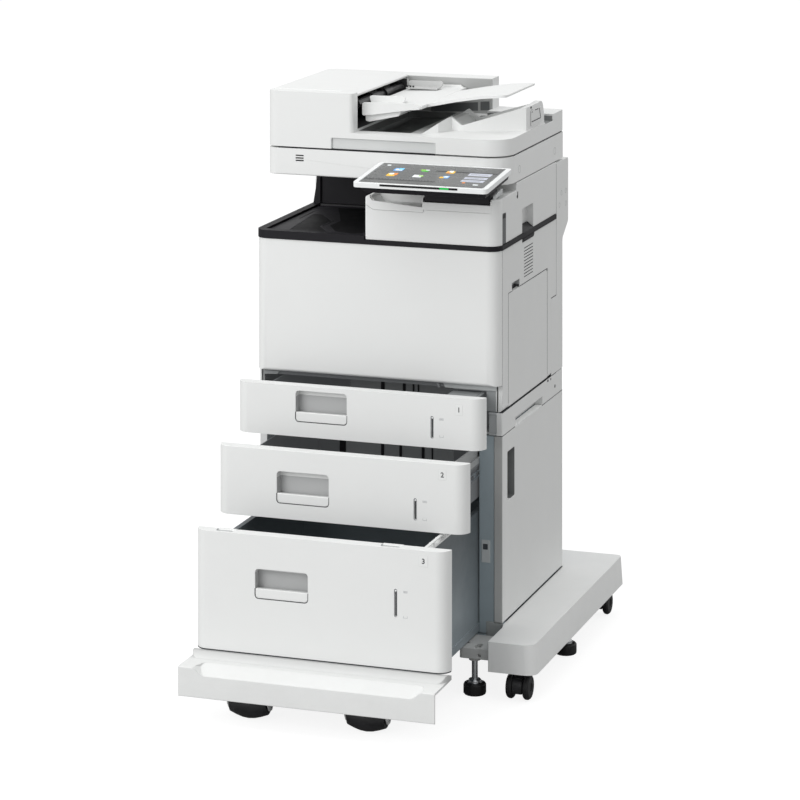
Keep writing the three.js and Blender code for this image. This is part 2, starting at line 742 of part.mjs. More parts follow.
addPiece("step_cover", LIGHT, () => {
  // apron, top with a foot pocket, ridge and roller brackets
  const { front, apron, bottom, top, thick } = STEP;
  const fullWidth = (outline) => side(outline, -HALF_WIDTH, HALF_WIDTH);
  const flat = fullWidth(round(rect(front, 22, top - thick, top), [0, 0, 0, 2], 4));
  const ridge = round(
    [
      [front + 4, top - 1], [22, top - 1], [22, top + 4], [2, top + 10.6],
      [-8, top + 10.6], [-22, top], [front + 4, top],
    ],
    [0, 0, 0, 2, 2, 9, 0],
    4,
  );
  // the ridge follows the rounded corners of the drawer front
  const bend = round(rect(-HALF_WIDTH, HALF_WIDTH, -27, 22), [27, 27, 0, 0], 8);
  const ridgeBody = common(fullWidth(ridge), plan(bend, top - 1, top + 12));
  const apronBody = fullWidth(rect(front, front + apron, bottom, top - 2));

  // shallow pocket sloping down to the front, with slanted ends; its lining is the
  // same form grown outwards
  const mouth = (grow) =>
    face(
      round(
        [
          [-228 - grow, top + 4], [-224 - grow, top - 1], [-207, top - 14.5 - grow],
          [211, top - 14.5 - grow], [228 + grow, top - 1], [232 + grow, top + 4],
        ],
        [0, 5, 20, 20, 5, 0],
        5,
      ),
      front - 3,
      -39,
    );
  const mouthPlan = (grow) =>
    plan(
      round(
        [
          [-229 - grow, front - 3], [233 + grow, front - 3],
          [222 + grow, -41 + grow], [-217 - grow, -41 + grow],
        ],
        [0, 0, 14, 14],
        5,
      ),
      top - 30,
      top + 5,
    );
  const slope = [[front - 4, top - 16], [-42, top + 0.2], [-42, top + 6], [front - 4, top + 6]];
  const liningSlope = [
    [front + 0.5, top - 16.4], [-39, top - 0.8],
    [-39, top - 0.2], [front + 0.5, top - 0.2],
  ];
  const pocket = common(side(slope, -240, 240), mouth(0), mouthPlan(0));
  const lining = common(side(liningSlope, -240, 240), mouth(2.2), mouthPlan(2));

  const brackets = Object.values(ROLLERS).flatMap((x) =>
    [-1, 1].map((sign) => rollerBracket(x + sign * (ROLLER.half + 3.5))),
  );
  // clearance for the cast ears when the drawer is shut
  const earRoom = add(
    box(197, 259, front + 3.6, 24, 60, 94.4),
    box(-259, -197, front + 3.6, 24, 60, 94.4),
  );
  const body = cut(add(add(flat, ridgeBody), apronBody, lining), pocket);
  return cut(add(body, ...brackets), earRoom).translate([0, STEP_SHIFT, 0]);
});

// barrel-shaped rollers with a short pin at each end
for (const [name, x] of Object.entries(ROLLERS)) {
  addPiece("roller_" + name, RUBBER, () => {
    const { radius, end, half, y, z } = ROLLER;
    const pin = { radius: 5, end: half + 1.5 };
    const profile = [[0, -pin.end], [pin.radius, -pin.end], [pin.radius, -half], [end, -half]];
    for (let k = 1; k < 6; k++) {
      const bulge = (radius - end) * Math.sin((Math.PI * k) / 6);
      profile.push([end + bulge, -half + (2 * half * k) / 6]);
    }
    profile.push([end, half], [pin.radius, half], [pin.radius, pin.end], [0, pin.end]);
    return alongX(turned(profile, 20)).translate([x, STEP_SHIFT + y, z]);
  });
}

// ---------------------------------------------------------------- cabinet
addPiece("cabinet_frame", STEEL, () => {
  const { bottom, top } = CABINET;
  const [front, back, right] = [27, BODY_BACK, 237.6];
  const strike = cut(
    box(212.5, 229.7, 25.7, 30, 233.4, 277),
    box(215.1, 225, 20, 28, 258.6, 269.8),
  );
  return add(
    box(-240, right, front, back, bottom, bottom + 4), // floor
    box(-251, right, front, back, top - 6, top), // top
    box(-HALF_WIDTH, -HALF_WIDTH + 4, front, back, 118, top), // left side
    box(-HALF_WIDTH + 1, -240, front, back, bottom, 122), // left sill
    box(-251, 240, back - 4, back, bottom, top), // back
    box(right - 4, right, front, 60, bottom + 1, top - 1), // right post
    box(207.5, right, front, 30, 94, top - 1), // its front flange
    box(-240, -209, front, 30, 110, top - 1), // flange of the left post
    box(-240, -236, front, 60, bottom + 1, top - 1), // left post
    box(-252, -236, front, 30, 110, top - 1), // tie to the left side
    box(right - 3, right, 56, back, 300, top - 1), // upper right side
    box(231, right, 50, back, bottom + 1, 114), // lower right rail
    strike,
    plan(roundedRect(222, 255.6, 25.6, 44, 3), bottom, 116), // front right block
  );
});

addPiece("cabinet_side_door", GREY, () => {
  const outline = round(
    [
      [238.6, 25.6], [HALF_WIDTH, 25.6], [HALF_WIDTH, 455.5],
      [250.5, 455.5], [250.5, 30], [238.6, 30],
    ],
    [0, 2, 2, 0, 0, 0],
    3,
  );
  const pullBacking = box(238.6, 252, 56, 112, 346, 450);
  return cut(
    add(plan(outline, 117.2, CABINET.top), pullBacking),
    side(roundedRect(59, 108.5, 349.5, 446, 3), 241, 260),
  );
});

addPiece("joining_ring", GREY, () => {
  // open at the front, with grips in its lower edge
  const { bottom, top } = RING;
  const outline = round(rect(-HALF_WIDTH, HALF_WIDTH, 25.5, BODY_BACK), [3, 3, 4, 4], 3);
  const ring = cut(plan(outline, bottom, top), box(-227, 227, 20, 440, bottom - 1, top + 1));
  const floor = box(-228, 228, 32, 441, bottom, bottom + 4);
  const grip = rect(115, 306, bottom - 1, 502);
  const frontNotch = box(226.5, 243, 25, 28, 489, 525.5);
  return cut(add(ring, floor), side(grip, 238, 260), side(grip, -260, -238), frontNotch);
});

// ---------------------------------------------------------------- stabiliser base
// In the keys the first letter is front or rear, the second right or left.
const OUTRIGGER = { left: 260.6, right: 352, front: -88, back: 577, bottom: 56, top: 114 };
const BAR = { bottom: 80, top: 87.5 };
const FEET = {
  fr: { x: 223.6, y: -54, top: 71.6 },
  fl: { x: -223.6, y: -54, top: 71.6 },
  rr: { x: 321.7, y: 247, top: 83.6 },
  rl: { x: -223.6, y: 400, top: 59.6 },
};
const CASTERS = {
  fr: { x: 316, y: -44, top: OUTRIGGER.bottom },
  rr: { x: 316, y: 544, top: OUTRIGGER.bottom },
  fl: { x: -170, y: 110, top: BAR.bottom },
  rl: { x: -200, y: 530, top: OUTRIGGER.bottom },
};
const CASTER = { radius: 24, gap: 10, width: 13, trail: 14 };

addPiece("outrigger_cover", GREY, () => {
  // L-shaped: along the right side and behind the cabinet
  const { left, right, front, back, bottom, top } = OUTRIGGER;
  const outline = round(
    [
      [left, front], [right, front], [right, back], [-HALF_WIDTH, back],
      [-HALF_WIDTH, 458.3], [256.3, 458.3], [256.3, 30], [left, 7],
    ],
    [2, 22, 12, 6, 0, 0, 2, 2],
    7,
  );
  const hollow = round(rect(left + 5, right - 5, front + 4, back - 4), [3, 18, 9, 3], 6);
  const rearHollow = box(-HALF_WIDTH + 5, left + 6, 464, back - 5, bottom - 1, top - 5);
  const mounts = ["fr", "rr", "rl"].map((key) => {
    const { x, y } = CASTERS[key];
    return box(x - 8, x + 8, y - 8, y + 8, bottom + 1, top - 3);
  });
  return add(
    cut(flared(outline, bottom, top, 300, 4), plan(hollow, bottom - 1, top - 5), rearHollow),
    ...mounts,
    box(311, 347, 232, 262, 84, top - 3), // over the rear right foot
  );
});

// plan of the right ear: x, y, corner radius
const EAR = [
  [198, -74.5, 6], [258, -74.5, 2], [258, 14, 0], [204, 14, 0],
  [204, -34, 2], [209, -37, 1], [209, -44, 1], [198, -47, 3],
];
function footEar(sign) {
  const rows = sign > 0 ? EAR : [...EAR].reverse();
  const points = rows.map(([x, y]) => [sign * x, y]);
  const radii = rows.map(([, , radius]) => radius);
  const holeX = sign * 232;
  const hollowX = sign * 231;
  return cut(
    plan(round(points, radii, 4), 73.5, 93.6),
    plan(roundedRect(holeX - 6.2, holeX + 6.2, -69, -41, 6), 70, 100),
    rodY(3.4, -76, -68, sign * 239.2, 81, 12),
    box(hollowX - 22, hollowX + 22, -62, 4, 70, 78),
  );
}
const footBoss = ({ x, y }) =>
  cut(rodZ(11.5, 66.5, 88, x, y, 20), rodZ(6.6, 66, 72.8, x, y, 20));

addPiece("foot_bracket", GREY, () => {
  // cross bar under the cabinet with a cast ear on each side carrying the front feet
  const { bottom, top } = BAR;
  return add(
    box(-HALF_WIDTH, HALF_WIDTH, 9, 60, 76, top),
    footEar(1),
    footEar(-1),
    footBoss(FEET.fr),
    footBoss(FEET.fl),
    box(-236, -212, 50, 412, bottom, top), // arm to the rear left foot
    rodZ(12, 60, top, FEET.rl.x, FEET.rl.y, 12),
    box(-184, -156, 50, 124, bottom, top), // arm to the front left caster
  );
});

for (const [key, { x, y, top }] of Object.entries(FEET)) {
  // disc with a nut and a bolt
  const bolt = 5.9;
  const profile = [
    [0, 0], [20, 0], [22.3, 2.5], [22.3, 19], [20.5, 22], [13, 23.5],
    [13, 26.5], [11, 29.5], [bolt, 29.5], [bolt, top], [0, top],
  ];
  addPiece("foot_" + key, RUBBER, () => turned(profile, 16).translate([x, y, 0]));
}

// fork with hood and stem; the wheels trail in front of the stem
function casterFork({ x, y, top }) {
  const { radius, gap, trail } = CASTER;
  const z = radius + 1;
  const axleY = y - trail;
  const left = x - gap + 0.6;
  const right = x + gap - 0.6;
  const hood = common(
    rodX(radius - 2, left, right, axleY, z, 20),
    box(x - 20, x + 20, axleY - 40, axleY + 40, z - 10, z + 40),
  );
  const stem = rodZ(9, z + 8, top - 0.4, x, y, 12);
  const arm = round(
    [[axleY - 8, z + 6], [y + 11, z + 6], [y + 11, z + 20], [axleY - 4, z + 22]],
    3,
    3,
  );
  const bore = rodX(4.5, x - gap - 2, x + gap + 2, axleY, z, 12);
  return cut(add(hood, stem, side(arm, left, right)), bore);
}

// two wheels on one axle
function casterWheels({ x, y }) {
  const { radius, gap, width, trail } = CASTER;
  const z = radius + 1;
  const axleY = y - trail;
  const profile = [
    [0, 0], [radius - 3, 0], [radius, 3], [radius, width - 4],
    [radius - 3, width - 0.4], [8, width - 0.4], [8, width - 2.4], [0, width - 2.4],
  ];
  const wheel = alongX(turned(profile, 20));
  return add(
    wheel.translate([x + gap + 0.4, axleY, z]),
    wheel.mirror([1, 0, 0]).translate([x - gap - 0.4, axleY, z]),
    rodX(4, x - gap - 2, x + gap + 2, axleY, z, 12),
  );
}

for (const [key, caster] of Object.entries(CASTERS)) {
  addPiece(`caster_${key}_fork`, BLACK, () => casterFork(caster));
  addPiece(`caster_${key}_wheels`, RUBBER, () => casterWheels(caster));
}

export default root;
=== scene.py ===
# Looks of the photocopier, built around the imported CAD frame.
import math
import random

import bpy
import bmesh
from mathutils import Matrix, Vector


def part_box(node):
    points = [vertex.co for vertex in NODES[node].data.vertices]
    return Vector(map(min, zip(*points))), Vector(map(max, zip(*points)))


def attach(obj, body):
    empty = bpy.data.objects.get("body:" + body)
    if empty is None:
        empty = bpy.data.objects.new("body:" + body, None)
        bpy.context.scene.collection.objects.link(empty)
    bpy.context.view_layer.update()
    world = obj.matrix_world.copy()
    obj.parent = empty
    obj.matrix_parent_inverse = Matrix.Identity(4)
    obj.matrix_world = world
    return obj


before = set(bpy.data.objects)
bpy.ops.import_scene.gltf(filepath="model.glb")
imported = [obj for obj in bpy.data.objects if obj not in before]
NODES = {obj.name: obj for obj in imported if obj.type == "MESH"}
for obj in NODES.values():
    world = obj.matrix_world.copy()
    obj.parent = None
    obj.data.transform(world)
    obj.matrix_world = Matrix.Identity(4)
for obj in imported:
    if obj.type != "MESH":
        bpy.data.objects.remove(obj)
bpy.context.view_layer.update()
random.seed(7)

MM = 0.001
_c0, _c1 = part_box("front_cover")
OX, OY = (_c0.x + _c1.x) / 2, _c0.y  # the main unit's middle and its front plane


def W(x, y, z):
    """Millimetres from the main unit's middle, front plane and floor, to metres in the row frame."""
    return Vector((x * MM + OX, y * MM + OY, z * MM))


# ------------------------------------------------------------------ materials
def srgb(r, g, b):
    f = lambda c: (c / 255) / 12.92 if c / 255 <= 0.04045 else (((c / 255) + 0.055) / 1.055) ** 2.4
    return (f(r), f(g), f(b), 1.0)


class Nodes:
    def __init__(self, name):
        self.m = bpy.data.materials.new(name)
        self.m.use_nodes = True
        self.t = self.m.node_tree
        self.t.nodes.clear()
        self.out = self.t.nodes.new("ShaderNodeOutputMaterial")
        self.bsdf = self.t.nodes.new("ShaderNodeBsdfPrincipled")
        self.t.links.new(self.bsdf.outputs[0], self.out.inputs[0])
        self.co = self.t.nodes.new("ShaderNodeTexCoord").outputs["Object"]

    def new(self, kind, **k):
        n = self.t.nodes.new(kind)
        for a, v in k.items():
            setattr(n, a, v)
        return n

    def link(self, a, b):
        self.t.links.new(a, b)

    def noise(self, scale, detail=2.0, rough=0.5, vec=None, stretch=None):
        n = self.new("ShaderNodeTexNoise")
        n.inputs["Scale"].default_value = scale
        n.inputs["Detail"].default_value = detail
        n.inputs["Roughness"].default_value = rough
        src = vec or self.co
        if stretch:
            m = self.new("ShaderNodeMapping")
            m.inputs["Scale"].default_value = stretch
            self.link(src, m.inputs["Vector"])
            src = m.outputs[0]
        self.link(src, n.inputs["Vector"])
        return n.outputs["Fac"]

    def remap(self, fac, a, b, lo=0.3, hi=0.7):
        n = self.new("ShaderNodeMapRange")
        n.inputs["From Min"].default_value = lo
        n.inputs["From Max"].default_value = hi
        n.inputs["To Min"].default_value = a
        n.inputs["To Max"].default_value = b
        self.link(fac, n.inputs["Value"])
        return n.outputs[0]

    def mixc(self, fac, a, b):
        n = self.new("ShaderNodeMix", data_type="RGBA")
        for s, v in ((n.inputs["Factor"], fac), (n.inputs[6], a), (n.inputs[7], b)):
            if isinstance(v, (float, int, tuple)):
                s.default_value = v
            else:
                self.link(v, s)
        return n.outputs[2]

    def math(self, op, a, b=0.0, clamp=False):
        n = self.new("ShaderNodeMath", operation=op)
        n.use_clamp = clamp
        for s, v in ((n.inputs[0], a), (n.inputs[1], b)):
            if isinstance(v, (float, int)):
                s.default_value = v
            else:
                self.link(v, s)
        return n.outputs[0]

    def axis(self, i):
        if not hasattr(self, "_sep"):
            self._sep = self.new("ShaderNodeSeparateXYZ")
            self.link(self.co, self._sep.inputs[0])
        return self._sep.outputs[i]

    def band(self, i, lo, hi, soft=0.0002):
        """1 where coordinate i lies between lo and hi, in metres."""
        a = self.remap(self.axis(i), 0.0, 1.0, lo - soft, lo + soft)
        b = self.remap(self.axis(i), 1.0, 0.0, hi - soft, hi + soft)
        return self.math("MULTIPLY", a, b, True)

    def bump(self, height, strength, distance=0.0002, normal=None):
        n = self.new("ShaderNodeBump")
        n.inputs["Strength"].default_value = strength
        n.inputs["Distance"].default_value = distance
        self.link(height, n.inputs["Height"])
        if normal:
            self.link(normal, n.inputs["Normal"])
        return n.outputs[0]


def zone(n, x=None, y=None, z=None):
    """1 inside the given ranges of machine millimetres, 0 outside."""
    out = None
    for i, (r, off) in enumerate(((x, OX), (y, OY), (z, 0.0))):
        if r is None:
            continue
        f = n.band(i, r[0] * MM + off, r[1] * MM + off, 0.00008)
        out = f if out is None else n.math("MULTIPLY", out, f, True)
    return out


def scaled(c, k):
    return tuple(min(1.0, v * k) for v in c[:3]) + (1,)


def principled(n):
    b = n.new("ShaderNodeBsdfPrincipled")
    return b


def plastic_layer(n, rgb, rough=0.42, grain=0.10, grain_scale=1500, mottle=0.02, spec=0.42, coat=0.0, dust=0.0, shade=None, soft=0.0, lift=0.0):
    """Moulded plastic: fine spark-eroded grain, slight mottling, handled patches, a little dust towards the floor.
    soft rounds the look of hard edges by so many millimetres. The last argument adds emission in the part's own colour,
    painted light that keeps a closed-in part from going black; shade is painted shade along one axis."""
    b = principled(n)
    base = srgb(*rgb)
    cloud = n.noise(5.0, 3.0, 0.6)
    col = n.mixc(n.remap(cloud, 0.0, 1.0), scaled(base, 1 - mottle * 1.6), scaled(base, 1 + mottle))
    fleck = n.noise(420.0, 1.0, 0.5)
    col = n.mixc(n.remap(fleck, 0.0, 0.05, 0.58, 0.72), col, scaled(base, 0.86))
    if dust:
        low = n.remap(n.axis(2), dust, 0.0, 0.0, 0.22)
        col = n.mixc(n.math("MULTIPLY", low, n.remap(n.noise(26.0, 4.0, 0.7), 0.2, 1.0)), col, scaled(base, 0.72))
    # painted shade: the colour shifts along one axis towards k times the base, darker below 1 and lighter above,
    # standing in for how the light falls
    if shade:
        axis, lo, hi, k = shade  # darkens gently along one axis, as moulded parts do away from the light
        col = n.mixc(n.remap(n.axis(axis), 0.0, 1.0, lo, hi), col, scaled(base, k))
    n.link(col, b.inputs["Base Color"])
    wear = n.noise(18.0, 4.0, 0.62)
    n.link(n.remap(wear, rough - 0.05, rough + 0.06), b.inputs["Roughness"])
    b.inputs["Specular IOR Level"].default_value = spec
    b.inputs["Coat Weight"].default_value = coat
    fine = n.noise(grain_scale, 1.0, 0.5)
    turn = None
    if soft:
        edge = n.new("ShaderNodeBevel")
        edge.samples = 6
        edge.inputs["Radius"].default_value = soft * MM
        turn = edge.outputs[0]
    n.link(n.bump(fine, grain, 0.00025, turn), b.inputs["Normal"])
    # painted glow: emission in the part's own colour stands in for light that doesn't reach a closed-in part
    if lift:
        n.link(col, b.inputs["Emission Color"])
        b.inputs["Emission Strength"].default_value = lift
    return b.outputs[0]


def steel_layer(n, rgb, rough=0.34, metallic=0.85, stretch=(3.0, 3.0, 240.0), amount=0.05, shade=None, lift=0.0):
    """Coated or brushed sheet steel: fine drawn lines, cloudy sheen. The shade argument is painted shade along one
    axis; the last argument adds emission in the sheet's own colour, painted light that keeps a closed-in part from
    going black.
    """
    b = principled(n)
    base = srgb(*rgb)
    lines = n.noise(9.0, 3.0, 0.6, stretch=stretch)
    cloud = n.noise(7.0, 3.0, 0.6)
    col = n.mixc(n.remap(cloud, 0.0, 1.0), scaled(base, 0.88), scaled(base, 1.1))
    # painted shade: the colour shifts along one axis towards k times the base, standing in for how the light falls
    if shade:
        axis, lo, hi, k = shade
        col = n.mixc(n.remap(n.axis(axis), 0.0, 1.0, lo, hi), col, scaled(base, k))
    n.link(col, b.inputs["Base Color"])
    b.inputs["Metallic"].default_value = metallic
    n.link(n.remap(lines, rough - amount, rough + amount), b.inputs["Roughness"])
    n.link(n.bump(lines, 0.06, 0.0002), b.inputs["Normal"])
    # painted glow: emission in the sheet's own colour stands in for light that doesn't reach a closed-in part
    if lift:
        n.link(col, b.inputs["Emission Color"])
        b.inputs["Emission Strength"].default_value = lift
    return b.outputs[0]


def rubber_layer(n, rgb, rough=0.6, grain=0.25):
    b = principled(n)
    base = srgb(*rgb)
    scuff = n.noise(34.0, 5.0, 0.7)
    col = n.mixc(n.remap(scuff, 0.0, 1.0, 0.45, 0.75), base, tuple(c * 1.9 + 0.003 for c in base[:3]) + (1,))
    n.link(col, b.inputs["Base Color"])
    n.link(n.remap(scuff, rough - 0.12, rough + 0.12), b.inputs["Roughness"])
    b.inputs["Specular IOR Level"].default_value = 0.4
    n.link(n.bump(n.noise(900.0, 2.0), grain, 0.0002), b.inputs["Normal"])
    return b.outputs[0]


def material(name, base, *parts):
    """base(n) gives the main shader; each part is (ranges, shader) and shows inside its ranges."""
    n = Nodes(name)
    sh = base(n)
    for ranges, fn in parts:
        boxes = ranges if isinstance(ranges, list) else [ranges]
        m = None
        for r in boxes:
            f = r(n) if callable(r) else zone(n, **r)
            m = f if m is None else n.math("MAXIMUM", m, f, True)
        mix = n.new("ShaderNodeMixShader")
        n.link(m, mix.inputs[0])
        n.link(sh, mix.inputs[1])
        n.link(fn(n), mix.inputs[2])
        sh = mix.outputs[0]
    n.t.nodes.remove(n.bsdf)
    n.link(sh, n.out.inputs[0])
    return n.m


def P(*a, **k):
    return lambda n: plastic_layer(n, *a, **k)


def S(*a, **k):
    return lambda n: steel_layer(n, *a, **k)


def R(*a, **k):
    return lambda n: rubber_layer(n, *a, **k)


def plastic(name, *a, **k):
    return material(name, P(*a, **k))


def steel(name, *a, **k):
    return material(name, S(*a, **k))


def rubber(name, *a, **k):
    return material(name, R(*a, **k))


BODY_RGB = (227, 228, 227)
WHITE = plastic("white_plastic", BODY_RGB, rough=0.42, mottle=0.006)
WHITE_LOW = plastic("white_plastic_low", BODY_RGB, rough=0.42, mottle=0.008, dust=0.25)
LEFTSIDE = plastic("left_side_plastic", BODY_RGB, rough=0.46, mottle=0.008, soft=1.2)
# painted shade: the side covers get a slightly darker copy of the body white, standing for the dimmer light on the
# sides
SIDE = plastic("side_plastic", (220, 221, 220), rough=0.46, mottle=0.008)
# painted light: the outrigger cover gets a slightly lighter copy of the body white, standing for the stronger light on
# its top
BASE = plastic("base_plastic", (232, 233, 232), rough=0.46, mottle=0.010, dust=0.2)
# painted shadow: shade darkens the step's rear towards the drawer, a contact shadow under drawer 3; dust darkens it
# towards the floor
WHITE_STEP = plastic("white_plastic_step_painted_shadow", BODY_RGB, rough=0.42, mottle=0.008, dust=0.25, soft=2.2, shade=(1, OY - 0.352, OY - 0.322, 0.60))
BLACKP = P((25, 24, 28), rough=0.5, grain=0.12, mottle=0.05, spec=0.2)
CHARCOAL = plastic("charcoal_plastic", (27, 26, 30), rough=0.48, grain=0.12, mottle=0.05, spec=0.24)
# painted light: the tray and interior greys are lighter than the real parts and glow a little, so closed-in, shaded
# parts don't go black
TRAYDARK = plastic("tray_plastic", (112, 114, 116), rough=0.5, grain=0.16, mottle=0.05, spec=0.3, lift=0.10)
INTERIOR = plastic("interior_plastic", (110, 112, 114), rough=0.5, grain=0.16, mottle=0.06, spec=0.3, lift=0.12)
MIDGREY = plastic("mid_grey_plastic", (150, 153, 154), rough=0.44, mottle=0.02)
# painted light: the paper-guide grey glows a little, so the guides read lit inside the shaded trays
GUIDEGREY = plastic("guide_grey_plastic", (124, 126, 127), rough=0.5, grain=0.12, mottle=0.04, spec=0.3, lift=0.12)
LIGHTGREY = plastic("light_grey_plastic", (196, 199, 199), rough=0.44, mottle=0.01)
BEZEL = plastic("bezel_plastic", (236, 238, 238), rough=0.32, grain=0.05, mottle=0.004, spec=0.45)
PANEL = material("panel_plastic", P((236, 238, 238), rough=0.32, grain=0.05, mottle=0.004, spec=0.45))
# painted shade and reflection: the box goes darker towards the top, under the drawer above; it also glows a little,
# painted light
BOXSTEEL = steel("box_steel", (138, 147, 152), rough=0.42, metallic=0.3, stretch=(240, 3, 3), lift=0.04, shade=(2, 0.13, 0.31, 0.42))
ZINC = steel("zinc_steel", (190, 192, 194), rough=0.3, metallic=0.95)
CAST = plastic("cast_paint", (186, 187, 186), rough=0.5, grain=0.35, grain_scale=700, mottle=0.03, dust=0.3, soft=1.6)
CHROME = steel("chrome_plate", (205, 206, 208), rough=0.16, metallic=1.0, amount=0.05)
CASTERBLACK = rubber("caster_black", (24, 24, 26), rough=0.42, grain=0.08)
TYRE = rubber("tyre_black", (20, 20, 21), rough=0.62)
ROLLRUB = rubber("roller_black", (28, 28, 30), rough=0.38, grain=0.06)
TONERS = {
    "toner_yellow": plastic("toner_yellow_plastic", (214, 190, 60), rough=0.4, mottle=0.02),
    "toner_magenta": plastic("toner_magenta_plastic", (176, 60, 110), rough=0.4, mottle=0.02),
    "toner_cyan": plastic("toner_cyan_plastic", (60, 140, 190), rough=0.4, mottle=0.02),
    "toner_black": plastic("toner_black_plastic", (52, 52, 55), rough=0.4, mottle=0.03),
}
# parts moulded or plated in more than one finish
FOOTMIX = material("foot_mixed", R((16, 16, 17), rough=0.45), (dict(z=(23, 200)), S((190, 192, 194), rough=0.22, metallic=1.0, stretch=(3, 3, 600), amount=0.06)))
# painted light: the post's blue-grey base is set lighter than its paint to make up for the shade of the drawers in
# front, and shade paints it lighter towards the top
CABINET = material(
    "cabinet_finish_and_painted_light",
    S((150, 162, 168), rough=0.5, metallic=0.05, shade=(2, 0.12, 0.46, 1.2)),
    (dict(x=(-400, -241)), P((219, 220, 220), rough=0.46)),
    (dict(x=(-241, -190), y=(0, 200), z=(347, 484)), P((62, 66, 68), rough=0.5)),
    (dict(x=(221.5, 300), y=(0, 30), z=(0, 118)), P((150, 153, 153), rough=0.46)),
    (dict(x=(212, 230), y=(0, 27.2), z=(233, 277.5)), P((188, 192, 193), rough=0.4)),
    (dict(x=(214.9, 225.2), y=(26.2, 60), z=(258, 270)), P((66, 70, 74), rough=0.6)),
)
# painted shade: the side door, joining ring and right door also start from the darker copy of the body white
DOORMIX = material("side_door_finish", P((220, 221, 220), rough=0.46, mottle=0.008), (dict(y=(0, 26.6)), P((176, 177, 176), rough=0.46)), (dict(x=(240.4, 255.1), y=(80, 109.2), z=(349, 446.6)), P((112, 114, 114), rough=0.5)))
RINGMIX = material("ring_finish", P((220, 221, 220), rough=0.46, mottle=0.008), (dict(x=(225, 243.6), y=(0, 60)), P((176, 179, 180), rough=0.46)))
RIGHTDOOR = material(
    "right_door_finish",
    P((220, 221, 220), rough=0.46, mottle=0.008, soft=1.2),
    (dict(x=(246.9, 300), y=(162, 242), z=(841.8, 852)), BLACKP),
    (dict(x=(200, 254.2), y=(60, 150), z=(740, 762.6)), P((70, 71, 72), rough=0.5)),
    (dict(x=(200, 254.2), y=(60, 150), z=(762.6, 775)), P((168, 170, 170), rough=0.5)),
)
TRAYMIX = material("output_tray_finish", BLACKP, (dict(x=(246, 256.9), y=(26, 49), z=(862.5, 925)), P((86, 88, 90), rough=0.5)), (dict(x=(-241, -22), y=(14, 333), z=(861.5, 864)), P((38, 37, 41), rough=0.5, spec=0.3)))


def belly(n):
    """1 on the underside of the tilted operating panel, below its white rim."""
    level = n.math("SUBTRACT", n.axis(2), n.math("MULTIPLY", n.math("SUBTRACT", n.axis(1), OY - 112 * MM), 0.0928))
    under = n.remap(level, 1.0, 0.0, (981.3 - 0.1) * MM, (981.3 + 0.1) * MM)
    return n.math("MULTIPLY", under, zone(n, y=(-109.0, 120.0)), True)


PANELMIX = material("panel_finish", P((236, 238, 238), rough=0.32, grain=0.05, mottle=0.004, spec=0.45), (belly, BLACKP))
# painted light: the frame interior is lighter than the real part and glows, so shaded openings don't go black
FRAMEMIX = material("frame_finish_and_painted_light", P((110, 112, 114), rough=0.5, grain=0.16, mottle=0.06, spec=0.3, lift=0.12), (dict(y=(0, 60), x=(-400, -247)), P((150, 152, 152), rough=0.5)))


def screen_material():
    n = Nodes("screen_glass")
    cloud = n.noise(3.0, 2.0)
    col = n.mixc(n.remap(cloud, 0, 1), srgb(88, 90, 92), srgb(94, 96, 98))
    n.link(col, n.bsdf.inputs["Base Color"])
    smudge = n.noise(22.0, 4.0, 0.65)
    n.link(n.remap(smudge, 0.16, 0.3), n.bsdf.inputs["Roughness"])
    n.bsdf.inputs["Coat Weight"].default_value = 0.5
    n.bsdf.inputs["Coat Roughness"].default_value = 0.12
    n.link(n.bump(smudge, 0.02, 0.0001), n.bsdf.inputs["Normal"])
    return n.m


def glow(name, rgb, strength=0.35, rough=0.35):
    """Displayed or lit surface: pigment plus a little emission, broken up by a fine cell pattern."""
    n = Nodes(name)
    base = srgb(*rgb)
    cell = n.noise(60.0, 1.0)
    col = n.mixc(n.remap(cell, 0.0, 1.0), tuple(c * 0.975 for c in base[:3]) + (1,), base)
    n.link(col, n.bsdf.inputs["Base Color"])
    n.link(col, n.bsdf.inputs["Emission Color"])
    n.bsdf.inputs["Emission Strength"].default_value = strength
    n.link(n.remap(cell, rough - 0.05, rough + 0.05), n.bsdf.inputs["Roughness"])
    n.bsdf.inputs["Specular IOR Level"].default_value = 0.3
    return n.m


def glass_material():
    n = Nodes("platen_glass")
    smudge = n.noise(14.0, 4.0, 0.6)
    n.link(n.mixc(n.remap(smudge, 0, 1), srgb(60, 74, 72), srgb(72, 88, 86)), n.bsdf.inputs["Base Color"])
    n.link(n.remap(smudge, 0.04, 0.12), n.bsdf.inputs["Roughness"])
    n.bsdf.inputs["Transmission Weight"].default_value = 0.55
    n.bsdf.inputs["IOR"].default_value = 1.45
    return n.m


SCREEN = screen_material()
GLASS = glass_material()
LED_GREEN = glow("led_green", (10, 150, 60), 0.9)
LABEL = plastic("label_grey", (120, 124, 126), rough=0.5, mottle=0.02)
INK = plastic("label_ink", (46, 48, 50), rough=0.5, mottle=0.02)
# painted shade: the slot colour fills the level slots, where there is only shade, and the rim colour paints the shading
# of the slot's rounded edge
SLOT_SHADE = plastic("slot_painted_shade", (84, 86, 88), rough=0.5, mottle=0.03)
RIM_SHADE = plastic("rim_painted_shade", (176, 179, 180), rough=0.5, mottle=0.02)
MARKGREY = plastic("mark_grey", (178, 180, 182), rough=0.5, mottle=0.02)
GAPDARK = plastic("gap_dark", (62, 64, 66), rough=0.6, mottle=0.05, spec=0.2)
LABELWHITE = plastic("label_white", (228, 229, 228), rough=0.46, mottle=0.006, grain=0.05)
LABELEDGE = plastic("label_edge", (214, 215, 214), rough=0.5, mottle=0.01)
BLACKGLOSS = plastic("black_gloss", (10, 10, 11), rough=0.18, grain=0.02, mottle=0.02, coat=0.4)
SCREENGREY = glow("screen_grey", (99, 100, 100), 0.05, 0.30)
SCREENMID = glow("screen_mid", (104, 105, 105), 0.05, 0.30)
